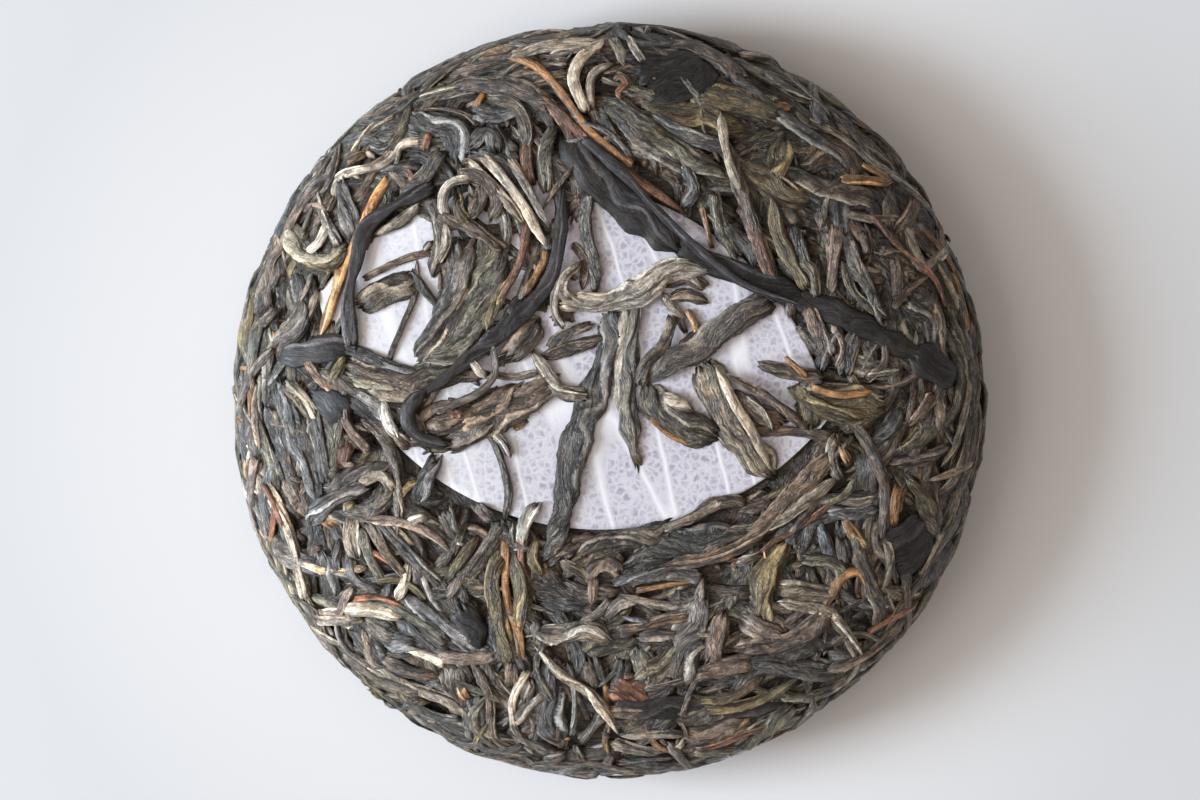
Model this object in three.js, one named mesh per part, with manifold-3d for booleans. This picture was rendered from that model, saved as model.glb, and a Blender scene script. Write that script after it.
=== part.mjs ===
// A small round cake of pressed raw tea with a paper tag sunk in its top.
// Millimetres, +Z up, the cake rests on the plane z = 0 with its axis on Z.
// Seen from above, +X is to the right and +Y is to the top of the view.
import * as THREE from 'three';
import { mergeVertices } from 'three/addons/utils/BufferGeometryUtils.js';
import Module from 'manifold-3d';

const { Manifold, Mesh: SolidMesh } = await loadManifold();

// The cake: a pressed pebble, squarer at its base than at its shoulder
const CAKE_DIAMETER = 105;
const CAKE_HEIGHT = 20;
const WIDEST_HEIGHT = 9.5;
const SHOULDER = { squareness: 6, roundness: 1.6 };
const BASE = { squareness: 8, roundness: 2 };

// The shallow hollow that the knot of the pressing cloth leaves underneath
const HOLLOW_DEPTH = 3.5;
const HOLLOW_RADIUS = 17;

// The plain body under the leaves, and the depth that is rubbed flat where the cake rests
const CORE_INSET = 1.3;
const CORE_SIDES = 40;
const CORE_RINGS = 9;
const REST_TRIM = 0.25;

// The outline is drawn from many steps of angle, then cut into even ones
const OUTLINE_STEPS = 4000;
const OUTLINE_SAMPLES = 240;

// The tag: a lens of thin paper between two arcs
const TAG_LENGTH = 73;
const TAG_ARC_RADIUS = 40;
const TAG_CENTRE = { x: -5.0, y: 6.2 };
const TAG_TURN = THREE.MathUtils.degToRad(-13.5);
const TAG_THICKNESS = 0.4;
const TAG_DEPTH = 1.0;
const TAG_GAP = 0.3;
const TAG_STEPS = { along: 22, across: 6 };
const TAG_TIP_HALF_WIDTH = 0.15;

// Leaf sections: sides of the section, rings along the leaf, and how far joining may smooth them
const LEAF_SIDES = 5;
const FILL_SIDES = 4;
const RING_EVERY = 5.6;
const RING_SWELL = { least: 0.86, most: 1.06 };
const TIP_LENGTH = 0.9;
const TIP_SHARE = 0.45;
const SMOOTHING = 0.36;
const SLIVER = 0.04;
const TOUCH = 0.003;
const DRAW_IN = 0.02;
const SAME_CORNER = 1e-5;
const ON_AXIS = 1e-9;

// Places read from the photograph are in its pixels, with y down
const PIXEL = 0.1378;
const PHOTO_CENTRE = { x: 609, y: 401 };
const TOP_MARGIN = 1.2;

// How high each kind of leaf lies: its top over the pressed surface, and its thickness
const LYING = {
  sunk: { top: -0.35, thickness: 1.9 },
  flush: { top: -0.05, thickness: 1.9 },
  onTag: { top: 0.1, thickness: 2.1 },
  crossing: { top: 0.65, thickness: 2.2 },
};

// The leaves that cross the tag, as width and path in photograph pixels
const TAG_LEAVES = [
  {
    name: 'longBlackLeaf', width: 36, lies: 'onTag',
    path: [[556, 138], [585, 178], [622, 212], [668, 258]],
  },
  {
    name: 'longBlackLeafEnd', width: 24, lies: 'onTag',
    path: [[668, 238], [700, 260], [750, 278], [805, 300]],
  },
  {
    name: 'longBlackEdge', width: 12, lies: 'crossing',
    path: [[640, 185], [668, 256], [745, 290], [800, 306]],
  },
  {
    name: 'foldedLeaf', width: 28, lies: 'crossing',
    path: [[768, 302], [722, 330], [680, 358], [642, 384]],
  },
  {
    name: 'foldedLeafHook', width: 30, lies: 'onTag',
    path: [[644, 380], [660, 410], [690, 428], [716, 436]],
  },
  { name: 'foldedLeafStalk', width: 12, lies: 'crossing', path: [[672, 318], [664, 345], [640, 386]] },
  {
    name: 'paleCrossLeaf', width: 22, lies: 'crossing',
    path: [[560, 302], [600, 304], [640, 292], [706, 272]],
  },
  {
    name: 'paleCrossHook', width: 12, lies: 'crossing',
    path: [[580, 264], [564, 278], [556, 302], [563, 328]],
  },
  {
    name: 'hangingBud', width: 17, lies: 'onTag',
    path: [[640, 298], [632, 335], [627, 400], [636, 464]],
  },
  { name: 'hangingBudSide', width: 12, lies: 'onTag', path: [[626, 306], [620, 350], [626, 428]] },
  {
    name: 'darkStrip', width: 24, lies: 'onTag',
    path: [[614, 300], [604, 362], [570, 462], [550, 545]],
  },
  {
    name: 'leftStalk', width: 10, lies: 'onTag',
    path: [[472, 390], [484, 428], [505, 495], [500, 535]],
  },
  { name: 'leftStalkSprig', width: 9, lies: 'onTag', path: [[484, 424], [503, 444], [510, 458]] },
  {
    name: 'crookedSprig', width: 14, lies: 'onTag',
    path: [[532, 345], [545, 370], [560, 392], [586, 397]],
  },
  { name: 'brownChip', width: 26, lies: 'onTag', path: [[545, 316], [522, 342], [500, 360]] },
  { name: 'brownBar', width: 12, lies: 'onTag', path: [[528, 362], [568, 350], [610, 336]] },
  { name: 'darkBar', width: 14, lies: 'onTag', path: [[540, 352], [566, 334], [606, 322]] },
  { name: 'brownLeaf', width: 26, lies: 'onTag', path: [[562, 376], [518, 406], [484, 430]] },
  { name: 'brownLeafLeft', width: 22, lies: 'onTag', path: [[520, 385], [482, 412], [448, 438]] },
  { name: 'crumpledBud', width: 20, lies: 'onTag', path: [[656, 280], [676, 298], [692, 336]] },
  { name: 'crumpledBudFlap', width: 22, lies: 'onTag', path: [[664, 288], [684, 282], [708, 296]] },
  { name: 'paleFan', width: 30, lies: 'onTag', path: [[706, 368], [722, 404], [744, 442], [776, 484]] },
  { name: 'rightCurl', width: 22, lies: 'onTag', path: [[728, 390], [756, 412], [800, 432]] },
  { name: 'rightCurlStalk', width: 12, lies: 'onTag', path: [[752, 362], [790, 374], [850, 389]] },
  { name: 'olivePatch', width: 34, lies: 'flush', path: [[792, 396], [836, 402], [880, 396]] },
  { name: 'leftDarkBar', width: 26, lies: 'onTag', path: [[424, 278], [388, 290], [350, 308]] },
  { name: 'leftUpright', width: 11, lies: 'onTag', path: [[416, 262], [414, 296], [386, 366]] },
  {
    name: 'leftCurve', width: 16, lies: 'onTag',
    path: [[430, 188], [392, 208], [360, 240], [350, 300], [354, 346]],
  },
  {
    name: 'leftSweep', width: 26, lies: 'onTag',
    path: [[268, 352], [310, 346], [352, 352], [440, 376]],
  },
  {
    name: 'middleSweep', width: 26, lies: 'onTag',
    path: [[400, 384], [440, 368], [474, 330], [512, 240]],
  },
  { name: 'middleSweepIn', width: 26, lies: 'onTag', path: [[412, 352], [440, 318], [474, 238]] },
  {
    name: 'bigHook', width: 17, lies: 'crossing',
    path: [[556, 216], [552, 254], [484, 340], [408, 402], [436, 442]],
  },
  { name: 'hookInner', width: 14, lies: 'crossing', path: [[524, 244], [508, 282], [484, 328]] },
  {
    name: 'ringCurl', width: 12, lies: 'crossing',
    path: [[492, 222], [492, 190], [462, 176], [440, 200], [452, 224], [500, 246]],
  },
  { name: 'paleStripeA', width: 13, lies: 'onTag', path: [[468, 162], [502, 198], [524, 226]] },
  { name: 'paleStripeB', width: 14, lies: 'onTag', path: [[484, 158], [516, 196], [545, 246]] },
  { name: 'paleStripeC', width: 12, lies: 'onTag', path: [[510, 160], [528, 190], [552, 226]] },
  { name: 'paleStripeD', width: 11, lies: 'onTag', path: [[462, 176], [494, 196], [500, 262]] },
  { name: 'upperStub', width: 14, lies: 'onTag', path: [[592, 190], [582, 222], [592, 294]] },
  { name: 'upperStubDark', width: 14, lies: 'onTag', path: [[550, 176], [562, 206], [556, 240]] },
  { name: 'sunkUpright', width: 16, lies: 'onTag', path: [[430, 196], [440, 236], [432, 276]] },
];

// The most striking leaves and stalks round the tag
const SURFACE_LEAVES = [
  {
    name: 'longBlackTail', width: 26, lies: 'flush',
    path: [[795, 298], [840, 314], [890, 342], [950, 368]],
  },
  { name: 'topStalk', width: 11, lies: 'flush', path: [[505, 53], [565, 98], [590, 132], [632, 166]] },
  { name: 'redStalk', width: 11, lies: 'flush', path: [[522, 72], [552, 106], [645, 186], [684, 213]] },
  { name: 'topLoop', width: 13, lies: 'flush', path: [[604, 40], [582, 58], [573, 80], [586, 110]] },
  { name: 'topArc', width: 13, lies: 'flush', path: [[512, 53], [545, 44], [602, 44]] },
  {
    name: 'leftStraw', width: 13, lies: 'flush',
    path: [[384, 176], [362, 222], [326, 314], [318, 338]],
  },
  {
    name: 'leftTwig', width: 10, lies: 'flush',
    path: [[328, 200], [334, 178], [380, 164], [420, 140]],
  },
  { name: 'topLeftRim', width: 13, lies: 'sunk', path: [[346, 128], [372, 108], [420, 92], [462, 84]] },
  {
    name: 'topLeftLeaf', width: 30, lies: 'flush',
    path: [[376, 132], [410, 122], [452, 130], [462, 160]],
  },
  { name: 'topLeftBand', width: 17, lies: 'flush', path: [[440, 84], [480, 82], [548, 104]] },
  { name: 'topRightBlack', width: 38, lies: 'sunk', path: [[646, 100], [678, 82], [716, 66]] },
  { name: 'topRightOlive', width: 30, lies: 'sunk', path: [[648, 108], [700, 116], [752, 128]] },
  { name: 'topRightLong', width: 13, lies: 'flush', path: [[736, 74], [776, 108], [856, 172]] },
  { name: 'topRightBud', width: 15, lies: 'flush', path: [[721, 114], [727, 142], [746, 192]] },
  { name: 'slantA', width: 22, lies: 'flush', path: [[600, 92], [640, 124], [690, 156], [730, 180]] },
  { name: 'slantB', width: 18, lies: 'flush', path: [[618, 108], [650, 150], [690, 176]] },
  { name: 'oliveSlant', width: 24, lies: 'flush', path: [[736, 164], [788, 196], [818, 198]] },
  { name: 'oliveUpright', width: 20, lies: 'flush', path: [[786, 136], [780, 158], [774, 180]] },
  { name: 'rightUprightA', width: 16, lies: 'flush', path: [[744, 206], [756, 238], [772, 280]] },
  { name: 'rightUprightB', width: 16, lies: 'flush', path: [[772, 198], [780, 240], [806, 288]] },
  { name: 'rightUprightC', width: 17, lies: 'flush', path: [[836, 226], [834, 262], [832, 296]] },
  { name: 'rightSlant', width: 12, lies: 'flush', path: [[846, 236], [856, 268], [880, 310]] },
  {
    name: 'rightRimTwig', width: 12, lies: 'flush',
    path: [[910, 222], [916, 252], [930, 268], [952, 246]],
  },
  { name: 'rightRim', width: 18, lies: 'sunk', path: [[955, 330], [968, 372], [926, 440], [890, 456]] },
  { name: 'rightBlack', width: 34, lies: 'flush', path: [[912, 352], [935, 366], [960, 384]] },
  {
    name: 'lowRightRun', width: 14, lies: 'flush',
    path: [[856, 424], [874, 456], [886, 492], [884, 540]],
  },
  { name: 'lowRightRunEnd', width: 18, lies: 'flush', path: [[868, 504], [862, 552], [884, 640]] },
  { name: 'lowRightBlack', width: 44, lies: 'sunk', path: [[892, 562], [912, 548], [932, 528]] },
  { name: 'slopeA', width: 20, lies: 'flush', path: [[832, 456], [804, 484], [772, 516]] },
  { name: 'slopeB', width: 17, lies: 'flush', path: [[786, 468], [740, 536], [716, 554], [660, 566]] },
  { name: 'underTagDark', width: 24, lies: 'flush', path: [[574, 562], [600, 546], [668, 528]] },
  { name: 'underTagDarkRight', width: 28, lies: 'sunk', path: [[640, 546], [690, 544], [736, 532]] },
  { name: 'lowOlive', width: 24, lies: 'flush', path: [[768, 620], [764, 592], [788, 544]] },
  { name: 'lowPale', width: 17, lies: 'flush', path: [[778, 588], [806, 594], [842, 598]] },
  {
    name: 'lowRightTwig', width: 12, lies: 'flush',
    path: [[818, 622], [844, 578], [860, 574], [872, 592]],
  },
  { name: 'lowUpright', width: 28, lies: 'flush', path: [[700, 600], [690, 640], [680, 686]] },
  { name: 'lowBrown', width: 18, lies: 'flush', path: [[836, 606], [800, 640], [740, 650]] },
  { name: 'bottomBand', width: 24, lies: 'sunk', path: [[612, 716], [670, 712], [790, 712]] },
  { name: 'bottomRag', width: 30, lies: 'sunk', path: [[676, 736], [720, 736], [758, 734]] },
  { name: 'bottomLens', width: 22, lies: 'flush', path: [[528, 642], [560, 636], [612, 642]] },
  { name: 'yellowLeaf', width: 26, lies: 'flush', path: [[504, 540], [500, 590], [514, 666]] },
  { name: 'bottomBroad', width: 26, lies: 'sunk', path: [[546, 664], [548, 706], [552, 748]] },
  { name: 'bottomSlant', width: 13, lies: 'flush', path: [[534, 648], [560, 676], [618, 738]] },
  { name: 'bottomLeftBlack', width: 28, lies: 'flush', path: [[458, 606], [468, 632], [478, 650]] },
  { name: 'bottomLeftRun', width: 16, lies: 'flush', path: [[366, 604], [404, 614], [480, 654]] },
  { name: 'bottomLeftPale', width: 15, lies: 'flush', path: [[330, 616], [372, 612], [404, 622]] },
  { name: 'bottomLeftRim', width: 14, lies: 'sunk', path: [[362, 636], [404, 690], [474, 728]] },
  { name: 'leftRim', width: 16, lies: 'sunk', path: [[236, 362], [238, 410], [242, 470]] },
  { name: 'leftLongA', width: 20, lies: 'sunk', path: [[286, 402], [300, 446], [320, 508]] },
  { name: 'leftLongB', width: 13, lies: 'sunk', path: [[262, 408], [276, 448], [296, 500]] },
  { name: 'leftRimRed', width: 14, lies: 'sunk', path: [[264, 486], [282, 518], [304, 602]] },
  { name: 'leftFanA', width: 18, lies: 'flush', path: [[324, 494], [350, 476], [392, 466]] },
  {
    name: 'leftFanB', width: 15, lies: 'flush',
    path: [[358, 414], [384, 442], [398, 482], [396, 542]],
  },
  { name: 'leftFanC', width: 14, lies: 'flush', path: [[350, 518], [350, 540], [354, 562]] },
  { name: 'leftFanD', width: 12, lies: 'flush', path: [[376, 522], [404, 552], [440, 586]] },
  { name: 'leftHookTail', width: 16, lies: 'flush', path: [[501, 524], [482, 556], [442, 604]] },
  {
    name: 'leftPaleRim', width: 12, lies: 'sunk',
    path: [[312, 286], [292, 318], [262, 372], [258, 410]],
  },
  { name: 'leftOlive', width: 22, lies: 'flush', path: [[282, 226], [300, 258], [344, 244]] },
  { name: 'leftUpperDark', width: 20, lies: 'sunk', path: [[340, 182], [346, 212], [350, 240]] },
];

// The way the smaller leaves run in the top, as a heading in degrees at a place of the photograph
const LEAF_RUNS = [
  [400, 120, 25], [480, 180, -45], [330, 260, 68], [270, 330, 65], [300, 450, -74], [380, 470, 30],
  [350, 560, -75], [420, 560, -45], [430, 630, -24], [470, 700, -75], [520, 600, -86], [550, 700, -86],
  [600, 560, 10], [640, 640, 5], [700, 545, 5], [690, 640, 75], [740, 710, 8], [830, 600, -10],
  [860, 640, -55], [880, 560, -80], [930, 520, -60], [830, 500, 38], [900, 420, 20], [960, 400, 86],
  [930, 340, -60], [860, 270, -65], [800, 260, -75], [740, 240, -60], [780, 190, -20], [850, 160, -40],
  [740, 120, -18], [650, 80, 15], [560, 70, 25], [600, 110, -50], [690, 160, -40],
];
const RUN_REACH = 8;

// The smaller leaves that fill the rest of the surface: their sizes, how far they stray from the
// way that their neighbours run, how far in from the rim they start, and how low they may lie
const FILL = {
  top: {
    count: 62, longest: 20, shortest: 9, widest: 3, narrowest: 1.6,
    spread: 22, inFromRim: 2.5, lowest: -0.7,
  },
  side: {
    count: 54, longest: 24, shortest: 11, widest: 3, narrowest: 1.6,
    spread: 20, inFromRim: 0, lowest: -0.6,
  },
  base: {
    count: 54, longest: 24, shortest: 12, widest: 3.6, narrowest: 2,
    spread: 28, inFromRim: 4, lowest: -0.9,
  },
};
const FILL_THICKNESS = 1.8;
const FILL_BEND = 55;
const SIDE_FILL_HEIGHT = { least: 2.5, most: 15 };
const WALK_STEPS = 3;
const START_BACK = 1 / 3;
const OFFERS = 14;
const TAG_OVERLAP = 1;

// The loose sheaves underneath: how far the leaves turn from place to place, in radians, and over what
// span in millimetres
const SHEAVES = { turnX: 1.5, spanX: 15, shiftX: 0.7, turnY: 1.2, spanY: 13, shiftY: -0.4 };

// The broad leaves under the outer ring of the base, on whose rubbed sides the cake rests
const REST_LEAF = { count: 3, ring: 31, length: 17, width: 6.5, proud: 0.15 };

const LEAF_FINISH = { color: 0x4a4a48, roughness: 0.8 };
const PAPER_FINISH = { color: 0xd9d8dc, roughness: 0.95 };
const SEED = 20260;

const random = seededRandom(SEED);
const surface = sampleSurface();

async function loadManifold() {
  const wasm = await Module();
  wasm.setup();
  return wasm;
}

// Mulberry32, so that every build lays the same leaves
function seededRandom(seed) {
  let state = seed;
  return () => {
    state = (state + 0x6d2b79f5) | 0;
    let mixed = Math.imul(state ^ (state >>> 15), 1 | state);
    mixed = (mixed + Math.imul(mixed ^ (mixed >>> 7), 61 | mixed)) ^ mixed;
    return ((mixed ^ (mixed >>> 14)) >>> 0) / 4294967296;
  };
}

function between(low, high) {
  return low + (high - low) * random();
}

// One point of the pressed outline, from the top's centre (0) over the rim (0.5) to the base's centre (1)
function outlinePoint(share) {
  const angle = Math.PI * (0.5 - share);
  const half = angle >= 0 ? SHOULDER : BASE;
  const reach = angle >= 0 ? CAKE_HEIGHT - WIDEST_HEIGHT : WIDEST_HEIGHT;
  const radius = (CAKE_DIAMETER / 2) * Math.max(Math.cos(angle), 0) ** (2 / half.squareness);
  const rise = Math.sign(angle) * Math.abs(Math.sin(angle)) ** (2 / half.roundness);
  let height = WIDEST_HEIGHT + reach * rise;
  if (angle < 0 && radius < HOLLOW_RADIUS) {
    height += HOLLOW_DEPTH * Math.cos((Math.PI / 2) * (radius / HOLLOW_RADIUS)) ** 2;
  }
  return new THREE.Vector2(radius, height);
}

// The outline as evenly spaced points, each with its outward normal in the section
function sampleSurface() {
  const rough = [];
  for (let i = 0; i <= OUTLINE_STEPS; i += 1) {
    rough.push(outlinePoint(i / OUTLINE_STEPS));
  }
  const line = new THREE.Path(rough);
  const points = line.getSpacedPoints(OUTLINE_SAMPLES);
  points[0].x = 0;
  points[OUTLINE_SAMPLES].x = 0;
  return points.map((point, i) => {
    const before = points[Math.max(i - 1, 0)];
    const after = points[Math.min(i + 1, OUTLINE_SAMPLES)];
    const normal = new THREE.Vector2(before.y - after.y, after.x - before.x).normalize();
    return { point, normal };
  });
}

// The surface point nearest to a place, with its normal
function onSurface(place) {
  const radius = Math.hypot(place.x, place.y);
  let nearest = surface[0];
  let least = Infinity;
  for (const sample of surface) {
    const gap = (sample.point.x - radius) ** 2 + (sample.point.y - place.z) ** 2;
    if (gap < least) {
      least = gap;
      nearest = sample;
    }
  }
  const outX = radius > ON_AXIS ? place.x / radius : 1;
  const outY = radius > ON_AXIS ? place.y / radius : 0;
  // Between samples the place keeps its own distance along the outline
  const along = new THREE.Vector2(-nearest.normal.y, nearest.normal.x);
  const slide = (radius - nearest.point.x) * along.x + (place.z - nearest.point.y) * along.y;
  const r = nearest.point.x + along.x * slide;
  const z = nearest.point.y + along.y * slide;
  return {
    point: new THREE.Vector3(outX * r, outY * r, z),
    normal: new THREE.Vector3(outX * nearest.normal.x, outY * nearest.normal.x, nearest.normal.y),
  };
}

// A photograph pixel as a place on the top surface
function fromPhoto([px, py]) {
  const x = (px - PHOTO_CENTRE.x) * PIXEL;
  const y = (PHOTO_CENTRE.y - py) * PIXEL;
  const limit = CAKE_DIAMETER / 2 - TOP_MARGIN;
  const pull = Math.min(1, limit / Math.hypot(x, y));
  return topPlace(x * pull, y * pull);
}

function topPlace(x, y) {
  const radius = Math.hypot(x, y);
  const across = Math.min(radius / (CAKE_DIAMETER / 2), 1);
  const rise = (1 - across ** SHOULDER.squareness) ** (1 / SHOULDER.roundness);
  return onSurface(new THREE.Vector3(x, y, WIDEST_HEIGHT + (CAKE_HEIGHT - WIDEST_HEIGHT) * rise));
}

// Whether a place in plan is inside the tag's lens, which may be grown
function inTag(x, y, grow = 0) {
  const half = TAG_LENGTH / 2;
  const drop = Math.sqrt(TAG_ARC_RADIUS ** 2 - half ** 2);
  const dx = x - TAG_CENTRE.x;
  const dy = y - TAG_CENTRE.y;
  const along = dx * Math.cos(TAG_TURN) + dy * Math.sin(TAG_TURN);
  const across = -dx * Math.sin(TAG_TURN) + dy * Math.cos(TAG_TURN);
  return Math.hypot(along, Math.abs(across) + drop) < TAG_ARC_RADIUS + grow;
}

// Turns a closed three.js geometry into a solid
function solidOf(geometry) {
  const bare = geometry.index ? geometry.toNonIndexed() : geometry.clone();
  bare.deleteAttribute('normal');
  bare.deleteAttribute('uv');
  const merged = mergeVertices(bare, SAME_CORNER);
  const triVerts = dropFlatTriangles(merged.index.array);
  return new Manifold(
    new SolidMesh({
      numProp: 3,
      vertProperties: new Float32Array(merged.attributes.position.array),
      triVerts,
    }),
  );
}

// Lathes leave triangles without area at the axis, whose corners merge
function dropFlatTriangles(index) {
  const kept = [];
  for (let i = 0; i < index.length; i += 3) {
    const [a, b, c] = [index[i], index[i + 1], index[i + 2]];
    if (a !== b && b !== c && c !== a) {
      kept.push(a, b, c);
    }
  }
  return new Uint32Array(kept);
}

function geometryOf(solid) {
  const mesh = solid.getMesh();
  const geometry = new THREE.BufferGeometry();
  geometry.setAttribute('position', new THREE.BufferAttribute(new Float32Array(mesh.vertProperties), 3));
  geometry.setIndex(Array.from(mesh.triVerts));
  geometry.computeVertexNormals();
  partTouchingCorners(geometry);
  return geometry;
}

// Where two leaves only touch at a corner or an edge, each side is drawn in a little
function partTouchingCorners(geometry) {
  const { position, normal } = geometry.attributes;
  const order = Array.from({ length: position.count }, (unused, i) => i);
  order.sort((a, b) => position.getX(a) - position.getX(b));
  const touching = new Set();
  const here = new THREE.Vector3();
  const there = new THREE.Vector3();
  order.forEach((a, rank) => {
    here.fromBufferAttribute(position, a);
    for (let next = rank + 1; next < order.length; next += 1) {
      there.fromBufferAttribute(position, order[next]);
      if (there.x - here.x > TOUCH) {
        break;
      }
      if (here.distanceTo(there) < TOUCH) {
        touching.add(a).add(order[next]);
      }
    }
  });
  for (const i of touching) {
    here.fromBufferAttribute(position, i);
    there.fromBufferAttribute(normal, i);
    here.addScaledVector(there, -DRAW_IN);
    position.setXYZ(i, here.x, here.y, here.z);
  }
}

// The plain body: the pressed outline, set in, turned round the axis
function makeCore() {
  const profile = [];
  for (let i = 0; i <= CORE_RINGS * 2; i += 1) {
    const sample = surface[Math.round((i / (CORE_RINGS * 2)) * (surface.length - 1))];
    const radius = Math.max(sample.point.x - CORE_INSET * sample.normal.x, 0);
    profile.push(new THREE.Vector2(radius, sample.point.y - CORE_INSET * sample.normal.y));
  }
  profile[0].x = 0;
  profile[profile.length - 1].x = 0;
  const lathe = new THREE.LatheGeometry(profile.reverse(), CORE_SIDES);
  lathe.rotateX(Math.PI / 2);
  return solidOf(lathe);
}

// A leaf: a spindle of few sides with a flat one up, bent along its path over the surface
function makeLeaf({ stops, width, thickness, top, sides }) {
  const curve = new THREE.CatmullRomCurve3(stops.map((stop) => stop.point), false, 'centripetal');
  const length = curve.getLength();
  const spans = Math.max(2, Math.round((length - 2 * TIP_LENGTH) / RING_EVERY));
  // The section is a polygon of radius one half: its top is a side, and its bottom a side or a corner
  const flatSide = Math.cos(Math.PI / sides) / 2;
  const widen = width / (2 * (sides % 2 ? Math.cos(Math.PI / (2 * sides)) / 2 : flatSide));
  const deepen = thickness / (flatSide + (sides % 2 ? 1 / 2 : flatSide));
  const profile = [new THREE.Vector2(0, 0)];
  for (let i = 0; i <= spans; i += 1) {
    const share = i / spans;
    const full = i === 0 || i === spans ? TIP_SHARE : between(RING_SWELL.least, RING_SWELL.most);
    profile.push(new THREE.Vector2(full / 2, (TIP_LENGTH + share * (length - 2 * TIP_LENGTH)) / length));
  }
  profile.push(new THREE.Vector2(0, 1));
  const spindle = new THREE.LatheGeometry(profile, sides, Math.PI / sides);
  const position = spindle.attributes.position;
  const across = new THREE.Vector3();
  for (let i = 0; i < position.count; i += 1) {
    const share = THREE.MathUtils.clamp(position.getY(i), 0, 1);
    const seat = onSurface(curve.getPointAt(share));
    const along = curve.getTangentAt(share);
    across.crossVectors(along, seat.normal).normalize();
    const side = position.getX(i) * widen;
    const lift = top + (position.getZ(i) - flatSide) * deepen;
    position.setXYZ(
      i,
      seat.point.x + across.x * side + seat.normal.x * lift,
      seat.point.y + across.y * side + seat.normal.y * lift,
      seat.point.z + across.z * side + seat.normal.z * lift,
    );
  }
  const solid = solidOf(spindle);
  return solid.volume() < 0 ? solidOf(turnedOut(spindle)) : solid;
}

function turnedOut(geometry) {
  const index = Array.from(geometry.index.array);
  for (let i = 0; i < index.length; i += 3) {
    [index[i], index[i + 1]] = [index[i + 1], index[i]];
  }
  geometry.setIndex(index);
  return geometry;
}

// A leaf read from the photograph
function placedLeaf({ width, lies, path }) {
  const lying = LYING[lies];
  return makeLeaf({
    stops: path.map(fromPhoto),
    width: width * PIXEL,
    thickness: lying.thickness,
    top: lying.top,
    sides: LEAF_SIDES,
  });
}

// A path of a few stops that walks over the surface from a start, turning as it goes
function walk(start, heading, length, bend) {
  const stops = [onSurface(start)];
  const going = heading.clone();
  for (let i = 0; i < WALK_STEPS; i += 1) {
    const seat = stops[stops.length - 1];
    going.addScaledVector(seat.normal, -going.dot(seat.normal)).normalize();
    going.applyAxisAngle(seat.normal, bend / WALK_STEPS);
    stops.push(onSurface(seat.point.clone().addScaledVector(going, length / WALK_STEPS)));
  }
  return stops;
}

function fillLeaf(kind, start, heading) {
  const length = between(kind.shortest, kind.longest);
  const width = between(kind.narrowest, kind.widest);
  const bend = THREE.MathUtils.degToRad(between(-FILL_BEND, FILL_BEND));
  return { stops: walk(start, heading, length, bend), width, top: between(kind.lowest, 0) };
}

// The heading of the smaller leaves at a place of the top, between the runs read from the photograph
function topHeading(x, y, spread) {
  const sum = new THREE.Vector2();
  for (const [px, py, degrees] of LEAF_RUNS) {
    const dx = (px - PHOTO_CENTRE.x) * PIXEL - x;
    const dy = (PHOTO_CENTRE.y - py) * PIXEL - y;
    const weight = Math.exp(-(dx * dx + dy * dy) / (2 * RUN_REACH * RUN_REACH));
    // Twice the angle, because a leaf has no front and back
    const doubled = THREE.MathUtils.degToRad(2 * degrees);
    sum.add(new THREE.Vector2(Math.cos(doubled), Math.sin(doubled)).multiplyScalar(weight));
  }
  const angle = sum.angle() / 2 + THREE.MathUtils.degToRad(between(-spread, spread));
  return new THREE.Vector3(Math.cos(angle), Math.sin(angle), 0);
}

// Places spread evenly: of a few random ones, the furthest from those taken
function nextPlace(taken, propose) {
  let best = null;
  let widest = -1;
  for (let i = 0; i < OFFERS; i += 1) {
    const place = propose();
    let gap = Infinity;
    for (const other of taken) {
      gap = Math.min(gap, place.distanceTo(other));
    }
    if (gap > widest) {
      widest = gap;
      best = place;
    }
  }
  taken.push(best);
  return best;
}

function onDisc(radius) {
  const angle = between(0, 2 * Math.PI);
  const r = radius * Math.sqrt(random());
  return new THREE.Vector2(r * Math.cos(angle), r * Math.sin(angle));
}

function topFill(placed) {
  const kind = FILL.top;
  const taken = placed.flatMap((leaf) => leaf.path.map((stop) => fromPhoto(stop).point));
  const leaves = [];
  while (leaves.length < kind.count) {
    const middle = nextPlace(taken, () => {
      const spot = onDisc(CAKE_DIAMETER / 2 - kind.inFromRim);
      return topPlace(spot.x, spot.y).point;
    });
    const heading = topHeading(middle.x, middle.y, kind.spread);
    const start = middle.clone().addScaledVector(heading, -kind.longest * START_BACK);
    const leaf = fillLeaf(kind, start, heading);
    if (leaf.stops.every((stop) => !inTag(stop.point.x, stop.point.y, -TAG_OVERLAP))) {
      leaves.push(leaf);
    }
  }
  return leaves;
}

function sideFill() {
  const kind = FILL.side;
  const taken = [];
  const leaves = [];
  while (leaves.length < kind.count) {
    const start = nextPlace(taken, () => {
      const angle = between(0, 2 * Math.PI);
      const out = CAKE_DIAMETER / 2 - kind.inFromRim;
      const height = between(SIDE_FILL_HEIGHT.least, SIDE_FILL_HEIGHT.most);
      return onSurface(new THREE.Vector3(out * Math.cos(angle), out * Math.sin(angle), height)).point;
    });
    const round = new THREE.Vector3(-start.y, start.x, 0).normalize();
    const tilt = THREE.MathUtils.degToRad(between(-kind.spread, kind.spread));
    const heading = round.multiplyScalar(Math.cos(tilt)).add(new THREE.Vector3(0, 0, Math.sin(tilt)));
    leaves.push(fillLeaf(kind, start, heading));
  }
  return leaves;
}

function sheafAngle({ x, y }) {
  const { turnX, spanX, shiftX, turnY, spanY, shiftY } = SHEAVES;
  return turnX * Math.sin(x / spanX + shiftX) + turnY * Math.cos(y / spanY + shiftY);
}

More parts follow.
